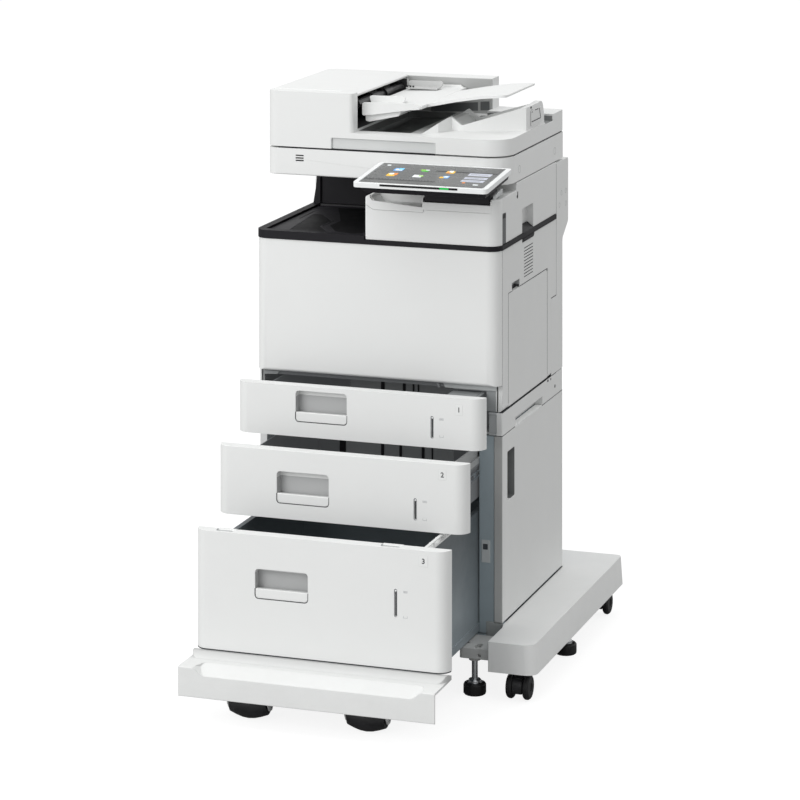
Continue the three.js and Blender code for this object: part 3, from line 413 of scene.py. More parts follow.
SCREENDARK = glow("screen_dark", (44, 45, 46), 0.03, 0.30)
SCREENTEXT = glow("screen_text", (132, 133, 134), 0.06, 0.35)
TONES = {
    "blue": glow("tone_blue", (96, 160, 226), 0.25), "cyan": glow("tone_cyan", (120, 205, 240), 0.25), "pale": glow("tone_pale", (232, 238, 240), 0.25),
    "green": glow("tone_green", (70, 170, 60), 0.25), "lime": glow("tone_lime", (150, 210, 80), 0.25), "amber": glow("tone_amber", (240, 190, 60), 0.25),
    "orange": glow("tone_orange", (232, 140, 60), 0.25), "button": glow("tone_button", (188, 192, 204), 0.20),
}


# ------------------------------------------------------------------ CAD nodes: edges and materials
def dress(name, material, bevel=1.0, segments=3, angle=28.0, planar=0.2):
    o = NODES[name]
    o.data.materials.clear()
    o.data.materials.append(material)
    if o.data.has_custom_normals:
        bpy.context.view_layer.objects.active = o
        o.select_set(True)
        bpy.ops.mesh.customdata_custom_splitnormals_clear()
        o.select_set(False)
    o.data.polygons.foreach_set("use_smooth", [True] * len(o.data.polygons))
    if "sharp_edge" in o.data.attributes:
        o.data.attributes.remove(o.data.attributes["sharp_edge"])
    w = o.modifiers.new("weld", "WELD")
    w.merge_threshold = 0.00002
    if not bevel:
        e = o.modifiers.new("hard_edges", "EDGE_SPLIT")
        e.use_edge_angle, e.use_edge_sharp = True, False
        e.split_angle = math.radians(32)
    if planar:
        d = o.modifiers.new("planar", "DECIMATE")
        d.decimate_type = "DISSOLVE"
        d.angle_limit = math.radians(planar)
    if bevel:
        b = o.modifiers.new("edge", "BEVEL")
        b.width = bevel * MM
        b.segments = segments
        b.limit_method = "ANGLE"
        b.angle_limit = math.radians(angle)
        b.use_clamp_overlap = True
        b.miter_outer = "MITER_ARC"
        b.harden_normals = False
    s = o.modifiers.new("normals", "WEIGHTED_NORMAL")
    s.weight = 50
    s.keep_sharp = False
    return o


GUIDEREAR = plastic("guide_grey", (190, 191, 190), rough=0.46, mottle=0.01)
RECESS = {1: (-104.0, 514.3), 2: (-207.0, 379.9), 3: (-322.0, 227.0)}
FRONTMIX = {
    k: material(
        f"drawer_{k}_front_finish_and_recess_shade",
        P(BODY_RGB, rough=0.42, mottle=0.006),
        # painted shade: the handle recess is darker grey, standing for the shade inside it
        (dict(x=(-131.5, -21.5), y=(fy + 2.0, fy + 26), z=(zb - 2, zb + 48)), P((176, 177, 177), rough=0.46, mottle=0.01)),
    )
    for k, (fy, zb) in RECESS.items()
}
# painted light: the tray walls are lightened and glow, so the shaded tray floors don't go black
TRAYWALL = material("tray_finish", P((112, 114, 116), rough=0.5, grain=0.16, mottle=0.05, spec=0.3, lift=0.19), (dict(x=(198, 212), z=(428, 464)), P((168, 169, 169), rough=0.46, mottle=0.02)))
ADFMIX = material(
    "feeder_finish_and_painted_shade",
    P(BODY_RGB, rough=0.42, mottle=0.006),
    # painted shade: slightly darker band in the grip recess at the feeder front
    (dict(x=(-117, 106), y=(58.5, 65), z=(1020, 1049.4)), P((208, 210, 209), rough=0.44)),
    (dict(x=(100, 254), y=(326.2, 384.6), z=(1050, 1066.2)), P((136, 138, 138), rough=0.5)),
    (dict(x=(-108, 62), y=(99, 410), z=(1040, 1060)), P((118, 120, 120), rough=0.5)),
    (dict(x=(-244, -72.3), y=(90.3, 413.0), z=(1060, 1129)), P((70, 71, 72), rough=0.5)),
    # painted shade: the rear wall's front face is grey, standing for the shade on it
    (dict(x=(-72, 115.6), y=(413.2, 414.8), z=(1060, 1132.6)), P((168, 169, 168), rough=0.46)),
)
DRESS = {
    "main_frame": (FRAMEMIX, 0.6), "front_cover": (WHITE, 2.2), "left_cover": (LEFTSIDE, 1.0), "rear_cover": (SIDE, 2.0),
    "right_upper_cover": (SIDE, 1.2), "right_door": (RIGHTDOOR, 0.8), "bypass_tray": (SIDE, 0.8), "output_tray": (TRAYMIX, 0.9),
    "control_housing": (WHITE, 1.2), "panel_bracket": (CHARCOAL, 1.0), "control_panel": (PANELMIX, 2.0), "touch_screen": (SCREEN, 0.3),
    "fuser_unit": (INTERIOR, 1.5), "transfer_belt_unit": (CHARCOAL, 1.0),
    "scanner_base": (WHITE, 1.6), "platen_glass": (GLASS, 0.3), "scan_carriage": (CHARCOAL, 0.8),
    "adf_base": (ADFMIX, 1.6), "feeder_cover": (WHITE, 1.4), "feed_tray": (WHITE, 1.2), "guide_front": (WHITE, 0.6), "guide_rear": (GUIDEREAR, 0.6),
    "output_stopper": (SIDE, 0.4), "pickup_roller": (ROLLRUB, 0.6),
    "step_cover": (WHITE_STEP, 1.2), "cabinet_frame": (CABINET, 0.6), "cabinet_side_door": (DOORMIX, 1.2), "joining_ring": (RINGMIX, 1.0),
    "outrigger_cover": (BASE, 2.6), "foot_bracket": (CAST, 1.0), "roller_left": (ROLLRUB, 0.5), "roller_right": (ROLLRUB, 0.5),
}
for _n in (1, 2, 3):
    DRESS[f"drawer_{_n}_front"] = (FRONTMIX[_n], 1.6)
    DRESS[f"drawer_{_n}_button"] = (WHITE, 0.6)
    DRESS[f"drawer_{_n}_indicator"] = (BEZEL, 0.3)
    DRESS["drawer_3_box" if _n == 3 else f"drawer_{_n}_tray"] = (BOXSTEEL if _n == 3 else TRAYWALL, 0.6)
for _k in ("fr", "fl", "rr", "rl"):
    DRESS["foot_" + _k] = (FOOTMIX, 0.5)
    DRESS[f"caster_{_k}_fork"] = (CASTERBLACK, 0.8)
    DRESS[f"caster_{_k}_wheels"] = (TYRE, 0.8)
for _t, _m in TONERS.items():
    DRESS[_t] = (_m, 0.8)
PLAIN = {"right_door": 0.0, "left_cover": 0.0, "step_cover": 0.0, "foot_bracket": 0.0}
for _name, (_mat, _bev) in DRESS.items():
    if _name in PLAIN:
        dress(_name, _mat, PLAIN[_name], planar=0)
    else:
        dress(_name, _mat, _bev)


# ------------------------------------------------------------------ mesh builders
def build(name, body, material, verts, faces, smooth=False, bevel=0.0, seg=2, angle=30):
    me = bpy.data.meshes.new(name)
    me.from_pydata([tuple(v) for v in verts], [], faces)
    me.update()
    bm = bmesh.new()
    bm.from_mesh(me)
    bmesh.ops.remove_doubles(bm, verts=bm.verts, dist=1e-6)
    bmesh.ops.recalc_face_normals(bm, faces=bm.faces)
    bm.to_mesh(me)
    bm.free()
    o = bpy.data.objects.new(name, me)
    bpy.context.scene.collection.objects.link(o)
    me.materials.append(material)
    me.polygons.foreach_set("use_smooth", [True] * len(me.polygons))
    if bevel:
        b = o.modifiers.new("edge", "BEVEL")
        b.width = bevel * MM
        b.segments = seg
        b.limit_method = "ANGLE"
        b.angle_limit = math.radians(angle)
        b.use_clamp_overlap = True
    if not smooth:
        s = o.modifiers.new("normals", "WEIGHTED_NORMAL")
        s.weight = 50
        s.keep_sharp = False
    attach(o, body)
    return o


class Shape:
    """Collects closed prisms and turned bodies into one piece. Coordinates in millimetres of the machine."""

    def __init__(self, to=W):
        self.v, self.f, self.to = [], [], to

    def _add(self, pts, faces):
        k = len(self.v)
        self.v += [self.to(*p) for p in pts]
        self.f += [[i + k for i in f] for f in faces]
        return self

    def prism(self, outline, a, b, axis="z"):
        n = len(outline)
        put = {"z": lambda u, v, w: (u, v, w), "y": lambda u, v, w: (u, w, v), "x": lambda u, v, w: (w, u, v)}[axis]
        pts = [put(u, v, a) for u, v in outline] + [put(u, v, b) for u, v in outline]
        faces = [list(range(n)), list(range(n, 2 * n))] + [[i, (i + 1) % n, n + (i + 1) % n, n + i] for i in range(n)]
        return self._add(pts, faces)

    def box(self, x0, x1, y0, y1, z0, z1):
        return self.prism([(x0, y0), (x1, y0), (x1, y1), (x0, y1)], z0, z1)

    def ring(self, outer, inner, a, b, axis="z"):
        """Prism with a hole: outer and inner have the same number of points."""
        n = len(outer)
        put = {"z": lambda u, v, w: (u, v, w), "y": lambda u, v, w: (u, w, v), "x": lambda u, v, w: (w, u, v)}[axis]
        pts = [put(u, v, w) for w in (a, b) for ln in (outer, inner) for u, v in ln]
        faces = []
        for i in range(n):
            j = (i + 1) % n
            faces += [[i, j, n + j, n + i], [2 * n + i, 2 * n + j, 3 * n + j, 3 * n + i], [i, j, 2 * n + j, 2 * n + i], [n + i, n + j, 3 * n + j, 3 * n + i]]
        return self._add(pts, faces)

    def turn(self, profile, centre, axis="z", seg=48, start=0.0):
        """Half profile of (radius, height), closed onto the axis at both ends, turned about the axis through centre."""
        cx, cy, cz = centre
        put = {
            "z": lambda c, s, h: (cx + c, cy + s, cz + h),
            "x": lambda c, s, h: (cx + h, cy + c, cz + s),
            "y": lambda c, s, h: (cx + c, cy + h, cz + s),
        }[axis]
        pts, faces, rows = [], [], []
        for r, h in profile:
            if r < 1e-6:
                rows.append([len(pts)])
                pts.append(put(0, 0, h))
            else:
                rows.append(list(range(len(pts), len(pts) + seg)))
                pts += [put(r * math.cos(start + 2 * math.pi * i / seg), r * math.sin(start + 2 * math.pi * i / seg), h) for i in range(seg)]
        for p, q in zip(rows, rows[1:]):
            for i in range(seg):
                j = (i + 1) % seg
                if len(p) == 1 and len(q) == 1:
                    continue
                if len(p) == 1:
                    faces.append([p[0], q[i], q[j]])
                elif len(q) == 1:
                    faces.append([p[i], p[j], q[0]])
                else:
                    faces.append([p[i], p[j], q[j], q[i]])
        return self._add(pts, faces)

    def make(self, name, body, material, **k):
        return build(name, body, material, self.v, self.f, **k)


def rr(a0, a1, b0, b1, r, steps=5):
    """Rounded rectangle outline."""
    r = min(r, (a1 - a0) / 2 - 1e-3, (b1 - b0) / 2 - 1e-3)
    out = []
    for cx, cy, t0 in ((a1 - r, b0 + r, -90), (a1 - r, b1 - r, 0), (a0 + r, b1 - r, 90), (a0 + r, b0 + r, 180)):
        for k in range(steps + 1):
            t = math.radians(t0 + 90 * k / steps)
            out.append((cx + r * math.cos(t), cy + r * math.sin(t)))
    return out


def text_piece(name, body, material, string, size, place, depth=0.3):
    """A generic number, standing on a front face: lies in the X-Z plane facing -Y."""
    cu = bpy.data.curves.new(name + "_c", "FONT")
    cu.body = string
    cu.size = size * MM
    cu.extrude = depth * MM / 2
    cu.offset = 0.25 * MM
    cu.align_x = "CENTER"
    cu.align_y = "CENTER"
    cu.resolution_u = 6
    tmp = bpy.data.objects.new(name + "_t", cu)
    bpy.context.scene.collection.objects.link(tmp)
    bpy.context.view_layer.update()
    me = bpy.data.meshes.new_from_object(tmp.evaluated_get(bpy.context.evaluated_depsgraph_get()))
    me.name = name
    bpy.data.objects.remove(tmp)
    me.transform(Matrix.Translation(W(*place)) @ Matrix.Rotation(math.radians(90), 4, "X"))
    me.materials.clear()
    me.materials.append(material)
    o = bpy.data.objects.new(name, me)
    bpy.context.scene.collection.objects.link(o)
    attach(o, body)
    return o


# ------------------------------------------------------------------ added pieces
def plate_y(name, body, mat, x0, x1, z0, z1, y0, y1, r=1.5, bevel=0.25):
    return Shape().prism(rr(x0, x1, z0, z1, r), y0, y1, "y").make(name, body, mat, bevel=bevel)


def plate_x(name, body, mat, y0, y1, z0, z1, x0, x1, r=1.5, bevel=0.25):
    return Shape().prism(rr(y0, y1, z0, z1, r), x0, x1, "x").make(name, body, mat, bevel=bevel)


# drawer labels, level windows and level pictures
LEVELS = {1: (-104.0, 545.5, 43.5, 540.5, 507.6), 2: (-207.0, 411.5, 42.0, 406.5, 372.6), 3: (-322.0, 270.3, 52.7, 265.9, 219.0)}
LABELS = {1: (199.6, 214.5, 551.0, 571.6), 2: (199.4, 214.6, 451.0, 470.0), 3: (198.7, 215.9, 316.7, 337.0)}
for k, (fy, top, height, za, zb) in LEVELS.items():
    body = f"drawer_{k}"
    lx0, lx1, lz0, lz1 = LABELS[k]
    plate_y(f"drawer_{k}_label", body, LABELWHITE, lx0, lx1, lz0, lz1, fy - 0.35, fy + 0.4, r=1.2, bevel=0.2)
    edge = Shape().ring(rr(lx0 - 0.5, lx1 + 0.5, lz0 - 0.5, lz1 + 0.5, 1.6), rr(lx0, lx1, lz0, lz1, 1.2), fy - 0.12, fy + 0.3, "y")
    edge.make(f"drawer_{k}_label_edge", body, LABELEDGE, bevel=0.05)
    text_piece(f"drawer_{k}_number", body, INK, str(k), 13.5, ((lx0 + lx1) / 2, fy - 0.42, (lz0 + lz1) / 2 - 0.4), 0.24)
    # painted shade: dark plate inside the level slot
    slot = Shape().prism(rr(150.4, 154.6, top - height + 1.0, top - 5.5, 2.0), fy + 5.05, fy + 5.8, "y")
    slot.make(f"drawer_{k}_level_scale", body, SLOT_SHADE, bevel=0.15)
    # painted shade: grey ring for the shading of the slot's rounded edge
    halo = Shape().ring(rr(149.2, 155.8, top - height - 0.3, top + 0.3, 3.2), rr(149.9, 155.1, top - height + 0.4, top - 0.4, 2.5), fy - 0.12, fy + 1.2, "y")
    halo.make(f"drawer_{k}_level_edge", body, RIM_SHADE, bevel=0.1)
    # the ring round the level dot takes the same painted slot shade
    dot = Shape().ring(rr(149.75, 155.25, top - 6.5, top - 0.7, 2.7), rr(151.0, 154.0, top - 5.1, top - 2.1, 1.4), fy + 3.0, fy + 3.6, "y")
    dot.make(f"drawer_{k}_level_ring", f"level_{k}", SLOT_SHADE, bevel=0.1)
    full = Shape()
    full.ring(rr(167.6, 176.0, za - 2.0, za + 2.0, 0.4), rr(168.1, 175.5, za - 1.5, za + 1.5, 0.3), fy - 0.15, fy + 0.3, "y")
    full.prism(rr(168.9, 174.7, za + 0.2, za + 0.8, 0.1), fy - 0.15, fy + 0.3, "y")
    full.prism(rr(168.9, 174.7, za - 0.9, za - 0.3, 0.1), fy - 0.15, fy + 0.3, "y")
    full.make(f"drawer_{k}_full_mark", body, MARKGREY)
    low = Shape()
    low.prism([(167.6, zb - 2.1), (176.0, zb - 2.1), (176.0, zb + 1.9), (175.4, zb + 1.9), (175.4, zb - 1.5), (168.2, zb - 1.5), (168.2, zb + 1.9), (167.6, zb + 1.9)], fy - 0.15, fy + 0.3, "y")
    low.make(f"drawer_{k}_empty_mark", body, MARKGREY)
    # drawer top: catches beside the opening
for k, x0, x1 in ((3, -212, -176), (3, 121, 161)):
    fy, zt = -322.0, 348.4
    lip = Shape().prism([(x0, fy + 6), (x1 - 3, fy + 6), (x1 - 3, fy + 7), (x0 + 3.6, fy + 7), (x0 + 0.6, fy + 16), (x0 - 1, fy + 16)], 347.3, 348.0)
    lip.make(f"drawer_3_catch_{'left' if x0 < 0 else 'right'}", "drawer_3", MIDGREY, bevel=0.1)


# touch screen: home page with generic tiles, drawn as thin raised pads on the sloping glass
def S_(x, y, h=0.0):
    z = 991.9 + (y + 103.5) * 0.0928
    return W(x, y - h * 0.0924, z + h * 0.9957)


def pad(name, mat, pts, h0=-0.1, h1=0.22):
    return Shape(to=lambda a, b, c: S_(a, b, c)).prism(pts, h0, h1).make(name, "control_panel", mat, bevel=0.04)


pad("screen_backlight", SCREENGREY, rr(3.5, 252.5, -100.5, 47.5, 1.5))
pad("screen_header_band", SCREENDARK, [(126.0, 1.6), (251.8, 2.4), (251.8, 9.4), (124.0, 9.4)], 0.0, 0.32)
pad("screen_side_panel", SCREENMID, [(126.5, 1.0), (251.8, 1.0), (251.8, -99.0), (149.5, -99.0), (149.5, -71.0)], 0.0, 0.28)
pad("screen_footer_band", SCREENDARK, [(4.2, -80.5), (148.5, -78.0), (145.8, -68.5), (4.2, -68.5)], 0.0, 0.3)
blob = Shape(to=lambda a, b, c: S_(a, b, c))
for i in range(22):
    bx_ = 8 + i * 6.3
    blob.prism(rr(bx_, bx_ + 4.6, -72.8, -69.3, 1.5), 0.0, 0.42)
blob.make("screen_footer_tabs", "control_panel", SCREENTEXT)


def quadpad(name, mat, x0, x1, y0, y1, skew=0.0, h=0.5, r=1.2):
    pts = rr(x0, x1, y0, y1, r, 3)
    pts = [(u + (v - y0) / max(1e-3, y1 - y0) * skew, v) for u, v in pts]
    return pad(name, mat, pts, 0.0, h)


ICONS = [
    ("copy", 39, 58, -8, 13, [("blue", 0, 0, 1, 1, 0.45), ("pale", 0.18, 0.15, 0.95, 0.72, 0.6), ("cyan", 0.5, 0.4, 1.0, 1.0, 0.7)]),
    ("scan", 93, 111, -4, 12, [("green", 0.2, 0.0, 0.95, 1.0, 0.45), ("lime", 0.0, 0.55, 0.75, 0.95, 0.6), ("pale", 0.55, 0.65, 1.0, 0.95, 0.7)]),
    ("folder", 38, 58, -49, -26, [("amber", 0, 0, 0.85, 0.9, 0.45), ("orange", 0.5, 0.35, 1.0, 1.0, 0.6), ("pale", 0.15, 0.5, 0.6, 0.95, 0.7)]),
    ("print", 92, 112, -48, -31, [("pale", 0, 0, 0.9, 1.0, 0.45), ("lime", 0.55, 0.4, 1.0, 0.85, 0.6)]),
    ("inbox", 148, 165, -6, 14, [("amber", 0, 0, 1.0, 0.8, 0.45), ("pale", 0.25, 0.3, 0.75, 0.95, 0.6), ("orange", 0.1, 0.0, 0.5, 0.4, 0.7)]),
    ("send", 147, 165, -45, -27, [("blue", 0.25, 0, 1.0, 1.0, 0.45), ("amber", 0.0, 0.0, 0.5, 0.55, 0.6), ("pale", 0.45, 0.35, 0.9, 0.8, 0.7)]),
]
for label, x0, x1, y0, y1, parts in ICONS:
    for i, (tone, a0, b0, a1, b1, h) in enumerate(parts):
        w_, d_ = x1 - x0, y1 - y0
        quadpad(f"screen_icon_{label}_{i}", TONES[tone], x0 + a0 * w_, x0 + a1 * w_, y0 + b0 * d_, y0 + b1 * d_, 0.0, h)
    quadpad(f"screen_caption_{label}", SCREENTEXT, x0 - 1, x1 + 1, y0 - 9.5, y0 - 7.2, 0, 0.4, 0.8)
for i, (y0, y1) in enumerate(((-16.5, 2.8), (-41.0, -27.5), (-63.0, -49.0))):
    quadpad(f"screen_button_{i + 1}", TONES["button"], 196.5, 243.0, y0, y1, 0.0, 0.5, 1.0)
    quadpad(f"screen_button_line_{i + 1}", SCREENMID, 201.0, 236.0, (y0 + y1) / 2 - 1.0, (y0 + y1) / 2 + 0.8, 0.0, 0.6, 0.6)
quadpad("screen_dot_orange", TONES["orange"], 202.5, 209.5, -74.5, -67.0, 0, 0.5, 3.4)
quadpad("screen_mark_right", TONES["pale"], 228, 239, -85, -79, 0, 0.5, 2.0)
quadpad("screen_home", TONES["pale"], 14.5, 22.5, 28.5, 35.5, 0, 0.5, 2.4)
quadpad("screen_home_line", SCREENTEXT, 26, 38, 30.0, 33.0, 0, 0.45, 1.0)
for i, (mx_, my_) in enumerate(((185.5, 34.0), (203.0, 33.0), (217.5, 26.5), (204.0, 19.0), (221.0, 33.0))):
    quadpad(f"screen_status_{i + 1}", SCREENTEXT, mx_ - 3.4, mx_ + 3.4, my_ - 2.6, my_ + 2.2, 0, 0.45, 1.4)
# status light strip in the panel's front edge
plate_y("panel_light_strip", "control_panel", BLACKGLOSS, 47.2, 206.6, 986.5, 990.4, -112.25, -111.0, r=0.8, bevel=0.15)
plate_y("panel_light_green", "control_panel", LED_GREEN, 170.4, 188.6, 986.8, 990.1, -112.5, -111.6, r=0.5, bevel=0.1)
for i, x in enumerate((75.0, 128.0, 182.0)):
    Shape(to=lambda a, b, c: S_(a, b, c)).prism(rr(x - 2.4, x + 2.4, -108.6, -107.0, 0.7), -0.2, 0.25).make(f"panel_mark_{i + 1}", "control_panel", MARKGREY)


# dark liners that lie in the joints between the shells, so each gap reads as a gap
def strip(shape, x, y, z, r=0.5):
    """Adds a flat strip with rounded ends, pressed along its thinnest direction."""
    d = (x[1] - x[0], y[1] - y[0], z[1] - z[0])
    i = d.index(min(d))
    if i == 0:
        return shape.prism(rr(y[0], y[1], z[0], z[1], r), x[0], x[1], "x")
    if i == 1:
        return shape.prism(rr(x[0], x[1], z[0], z[1], r), y[0], y[1], "y")
    return shape.prism(rr(x[0], x[1], y[0], y[1], r), z[0], z[1], "z")


def liner(name, body, x, y, z, mat=None):
    return strip(Shape(), x, y, z).make(name, body, mat or GAPDARK, bevel=0.08)


# painted light: light grey with a strong glow, so the grip recess reads lit instead of dark
GRIPFLOOR = plastic("grip_floor", (206, 207, 206), rough=0.5, mottle=0.02, lift=0.28)
BLACKMARK = plastic("black_mark", (22, 22, 24), rough=0.45, mottle=0.05, spec=0.25)
FAINT = plastic("faint_rim", (168, 170, 170), rough=0.5, mottle=0.02)
FOLDLINE = plastic("fold_line", (52, 52, 55), rough=0.55, mottle=0.05, spec=0.2)
DEEP = plastic("deep_tray", (16, 16, 18), rough=0.55, mottle=0.05, spec=0.15)
WALLDARK = plastic("wall_dark", (92, 94, 95), rough=0.5, mottle=0.04)
for side, sx0, sx1 in (("right", 250.0, 255.15), ("left", -255.15, -250.0)):
    liner(f"seam_cover_{side}", "body", (sx0, sx1), (25.25, 26.75), (585.6, 848))
liner("seam_door_rear_low", "body", (250, 255.1), (368.0, 370.4), (531, 690))
liner("seam_door_step", "body", (255.55, 255.8), (369.0, 408), (690.4, 691.9), BLACKMARK)
liner("seam_door_rear_high", "body", (250, 255.56), (408.9, 410.1), (692, 964), FAINT)
liner("seam_ring_top", "body", (249, 255.35), (26.5, 408), (529.35, 529.78))
liner("seam_ring_bottom_front", "body", (240, 255.2), (26.5, 113.5), (483.15, 484.35))
liner("seam_ring_bottom_rear", "body", (240, 255.2), (307.5, 455), (483.15, 484.35))
# painted light: glowing floor in the joining ring's grip
liner("ring_grip_floor", "body", (241, 255.0), (116, 304), (484.0, 484.9), GRIPFLOOR)
outline = Shape()
for yy, zz in (((65.2, 66.3), (540.5, 757.6)), ((340.7, 341.8), (540.5, 758.8)), ((143.5, 341.8), (757.6, 758.9)), ((65.2, 89.0), (757.6, 758.7))):
    strip(outline, (255.3, 255.68), yy, zz, 0.3)
outline.make("bypass_tray_outline", "right_door", GAPDARK, bevel=0.05)
dots = Shape()
for (ya, yb), (za, zb) in (((341.0, 350.0), (523.6, 527.6)), ((364.5, 369.0), (522.4, 527.0)), ((336.0, 341.5), (753.0, 758.6))):
    strip(dots, (255.35, 255.85), (ya, yb), (za, zb), 0.9)
dots.make("door_latch_bits", "body", BLACKMARK, bevel=0.1)


def disc_x(name, body, mat, y, z, r, x0, x1, inner=0.0, seg=28):
    c = [(y + r * math.cos(2 * math.pi * i / seg), z + r * math.sin(2 * math.pi * i / seg)) for i in range(seg)]
    s = Shape()
    if inner:
        s.ring(c, [(y + inner * math.cos(2 * math.pi * i / seg), z + inner * math.sin(2 * math.pi * i / seg)) for i in range(seg)], x0, x1, "x")
    else:
        s.turn([(0, 0), (r, 0), (r, (x1 - x0) * 0.6), (r * 0.8, x1 - x0), (0, x1 - x0)], (x0, y, z), "x", seg)
    return s.make(name, body, mat, bevel=0.05)


disc_x("rear_screw", "body", BLACKMARK, 398.0, 503.5, 3.6, 255.3, 255.9)
disc_x("key_hole", "body", BLACKMARK, 127.0, 940.0, 3.8, 255.3, 256.3)
liner("key_flag", "body", (255.4, 256.0), (127.5, 131.0), (942.0, 949.5), BLACKMARK)
for i, (yy, zz) in enumerate(((142.2, 992.2), (396.4, 992.2))):
    disc_x(f"scanner_cap_{i + 1}", "body", FAINT, yy, zz, 7.6, 255.35, 255.7, 6.9)
for i, (yy, zz) in enumerate(((447.0, 897.0), (480.6, 896.8), (432.6, 873.7), (480.9, 870.4))):
    disc_x(f"rear_cap_{i + 1}", "body", FAINT, yy, zz, 5.4, 255.3, 255.7, 4.7)
liner("housing_slot_plate", "body", (254.75, 255.6), (25.6, 49.2), (861.2, 920.4), WALLDARK)
liner("housing_slot_top", "body", (255.55, 255.75), (27.0, 48.0), (911.5, 919.6), BLACKMARK)
arm = Shape().prism([(-5, 954), (20, 957.5), (44, 959), (44, 969.0), (20, 967.0), (-5, 962.5)], 245.5, 250.5, "x")
arm.make("panel_arm_cover", "body", LIGHTGREY, bevel=0.8)

# joint under drawer 3, following the rounded drawer front
R3 = 25.4
joint = [(-255.5, -301.0)]
for cx_, t0 in ((-255.8 + R3, 190), (255.8 - R3, 270)):
    joint += [(cx_ + R3 * math.cos(math.radians(t0 + 80 * i / 9)), -322.35 + R3 + R3 * math.sin(math.radians(t0 + 80 * i / 9))) for i in range(10)]
joint += [(255.5, -301.0)]
Shape().prism(joint, 118.75, 120.9).make("drawer_3_joint", "drawer_3", GAPDARK, bevel=0.2)

# under the front cover: inner ledge, side plates, hook and catch
ledge = Shape().prism([(131, 584), (137, 572.2), (243.6, 572.2), (243.6, 584)], 25.4, 28.0, "y")
ledge.make("cover_ledge", "body", LIGHTGREY, bevel=0.5)
plates = Shape().prism([(153, 570.2), (244.3, 570.2), (244.3, 573.4), (153, 573.4)], 28.2, 29.4, "y")
plates.prism([(222, 531), (244.3, 531), (244.3, 570.1), (222, 570.1)], 28.2, 29.4, "y")
plates.make("front_side_plate", "body", MIDGREY, bevel=0.2)
liner("front_edge_line", "body", (244.6, 246.1), (25.3, 26.7), (530, 584), BLACKMARK)
Shape().prism([(115, 584), (121, 584), (124.5, 578), (125.5, 570.5), (121.5, 570.5), (119.5, 577)], 27.0, 28.6, "y").make("cover_hook", "body", MIDGREY, bevel=0.3)
Shape().prism([(-246, 579), (-214, 579), (-218.5, 573), (-246, 571.5)], 26.0, 28.5, "y").make("cover_catch", "body", MIDGREY, bevel=0.3)
Shape().prism(rr(154, 219, -77.5, 24, 2), 566.4, 567.8).make("drawer_1_side_shelf", "drawer_1", MIDGREY, bevel=0.4)
# drawer 3: ribbed light rim of the box at the right; drawer 2: slide rail
rim = Shape().box(196.5, 207.2, -294.5, -150, 333.4, 337.0)
for i in range(4):
    rim.prism([(-292 + i * 36, 337), (-287.5 + i * 36, 337), (-287.5 + i * 36, 344.0), (-292 + i * 36, 344.0)], 197, 206.8, "x")
rim.prism([(-294.5, 344), (-175, 344), (-160, 340), (-160, 342), (-174, 346.2), (-294.5, 346.2)], 200.5, 206.8, "x")
rim.make("drawer_3_rim", "drawer_3", WHITE, bevel=0.3)
rail = Shape()
strip(rail, (207.5, 209.0), (-181, 190), (404, 407), 0.4)
strip(rail, (207.5, 209.0), (-181, 190), (414, 417), 0.4)
for i in range(9):
    strip(rail, (207.4, 208.6), (-172 + i * 40, -160 + i * 40), (407, 414), 0.4)
rail.make("drawer_2_rail", "drawer_2", ZINC, bevel=0.15)

# paper guides standing in trays 1 and 2
for k, yq, zb, zt, plate_x, ribs in (
    (1, 150.0, 495.8, 558.0, (-107.0, 122.0), ((-40.6, -33.0), (6.0, 12.0), (27.0, 30.5), (37.8, 41.0))),
    (2, 100.0, 360.8, 446.0, (-112.0, 130.0), ((-112.0, -99.0), (-23.2, -17.0), (15.8, 21.0), (63.0, 69.0), (84.0, 87.0))),
):
    g = Shape().prism([(plate_x[0], zb), (plate_x[1], zb), (plate_x[1], zt - 9), (plate_x[1] - 8, zt), (plate_x[0] + 8, zt), (plate_x[0], zt - 9)], yq + 2.2, yq + 4.0, "y")
    g.box(plate_x[0] + 4, plate_x[1] - 4, yq + 4.0, yq + 34.0, zb, zb + 1.6)
    g.make(f"drawer_{k}_guide_plate", f"drawer_{k}", GUIDEGREY, bevel=0.4)
    r_ = Shape()
    for xa, xb in ribs:
        r_.prism([(xa, zb), (xb, zb), (xb, zt - 2), (xa, zt - 2)], yq, yq + 2.0, "y")
    r_.make(f"drawer_{k}_guide_ribs", f"drawer_{k}", CHARCOAL, bevel=0.3)

# release strips: dark joint round the lower part
for k, (fy, zb) in RECESS.items():
    x0, x1, zt = -129.7, -23.9, zb + 18.1
    lip = []
    for q, rad in ((1.5, 7.5), (0.35, 6.4)):
        row = [(x0 - q, zt)]
        for cx_, t0 in ((x0 - q + rad, 180), (x1 + q - rad, 270)):
            row += [(cx_ + rad * math.cos(math.radians(t0 + 90 * i / 8)), zb - q + rad + rad * math.sin(math.radians(t0 + 90 * i / 8))) for i in range(9)]
        lip.append(row + [(x1 + q, zt)])
    Shape().prism(lip[0] + lip[1][::-1], fy - 0.1, fy + 0.5, "y").make(f"drawer_{k}_release_joint", f"drawer_{k}", GAPDARK, bevel=0.05)
    top = LEVELS[k][1]
    dot = Shape().turn([(0, 0), (1.5, 0), (2.0, 0.5), (2.0, 2.6), (0, 2.6)], (152.5, fy + 0.7, top - 3.6), "y", 24)
    dot.make(f"drawer_{k}_level_dot", f"level_{k}", BEZEL)

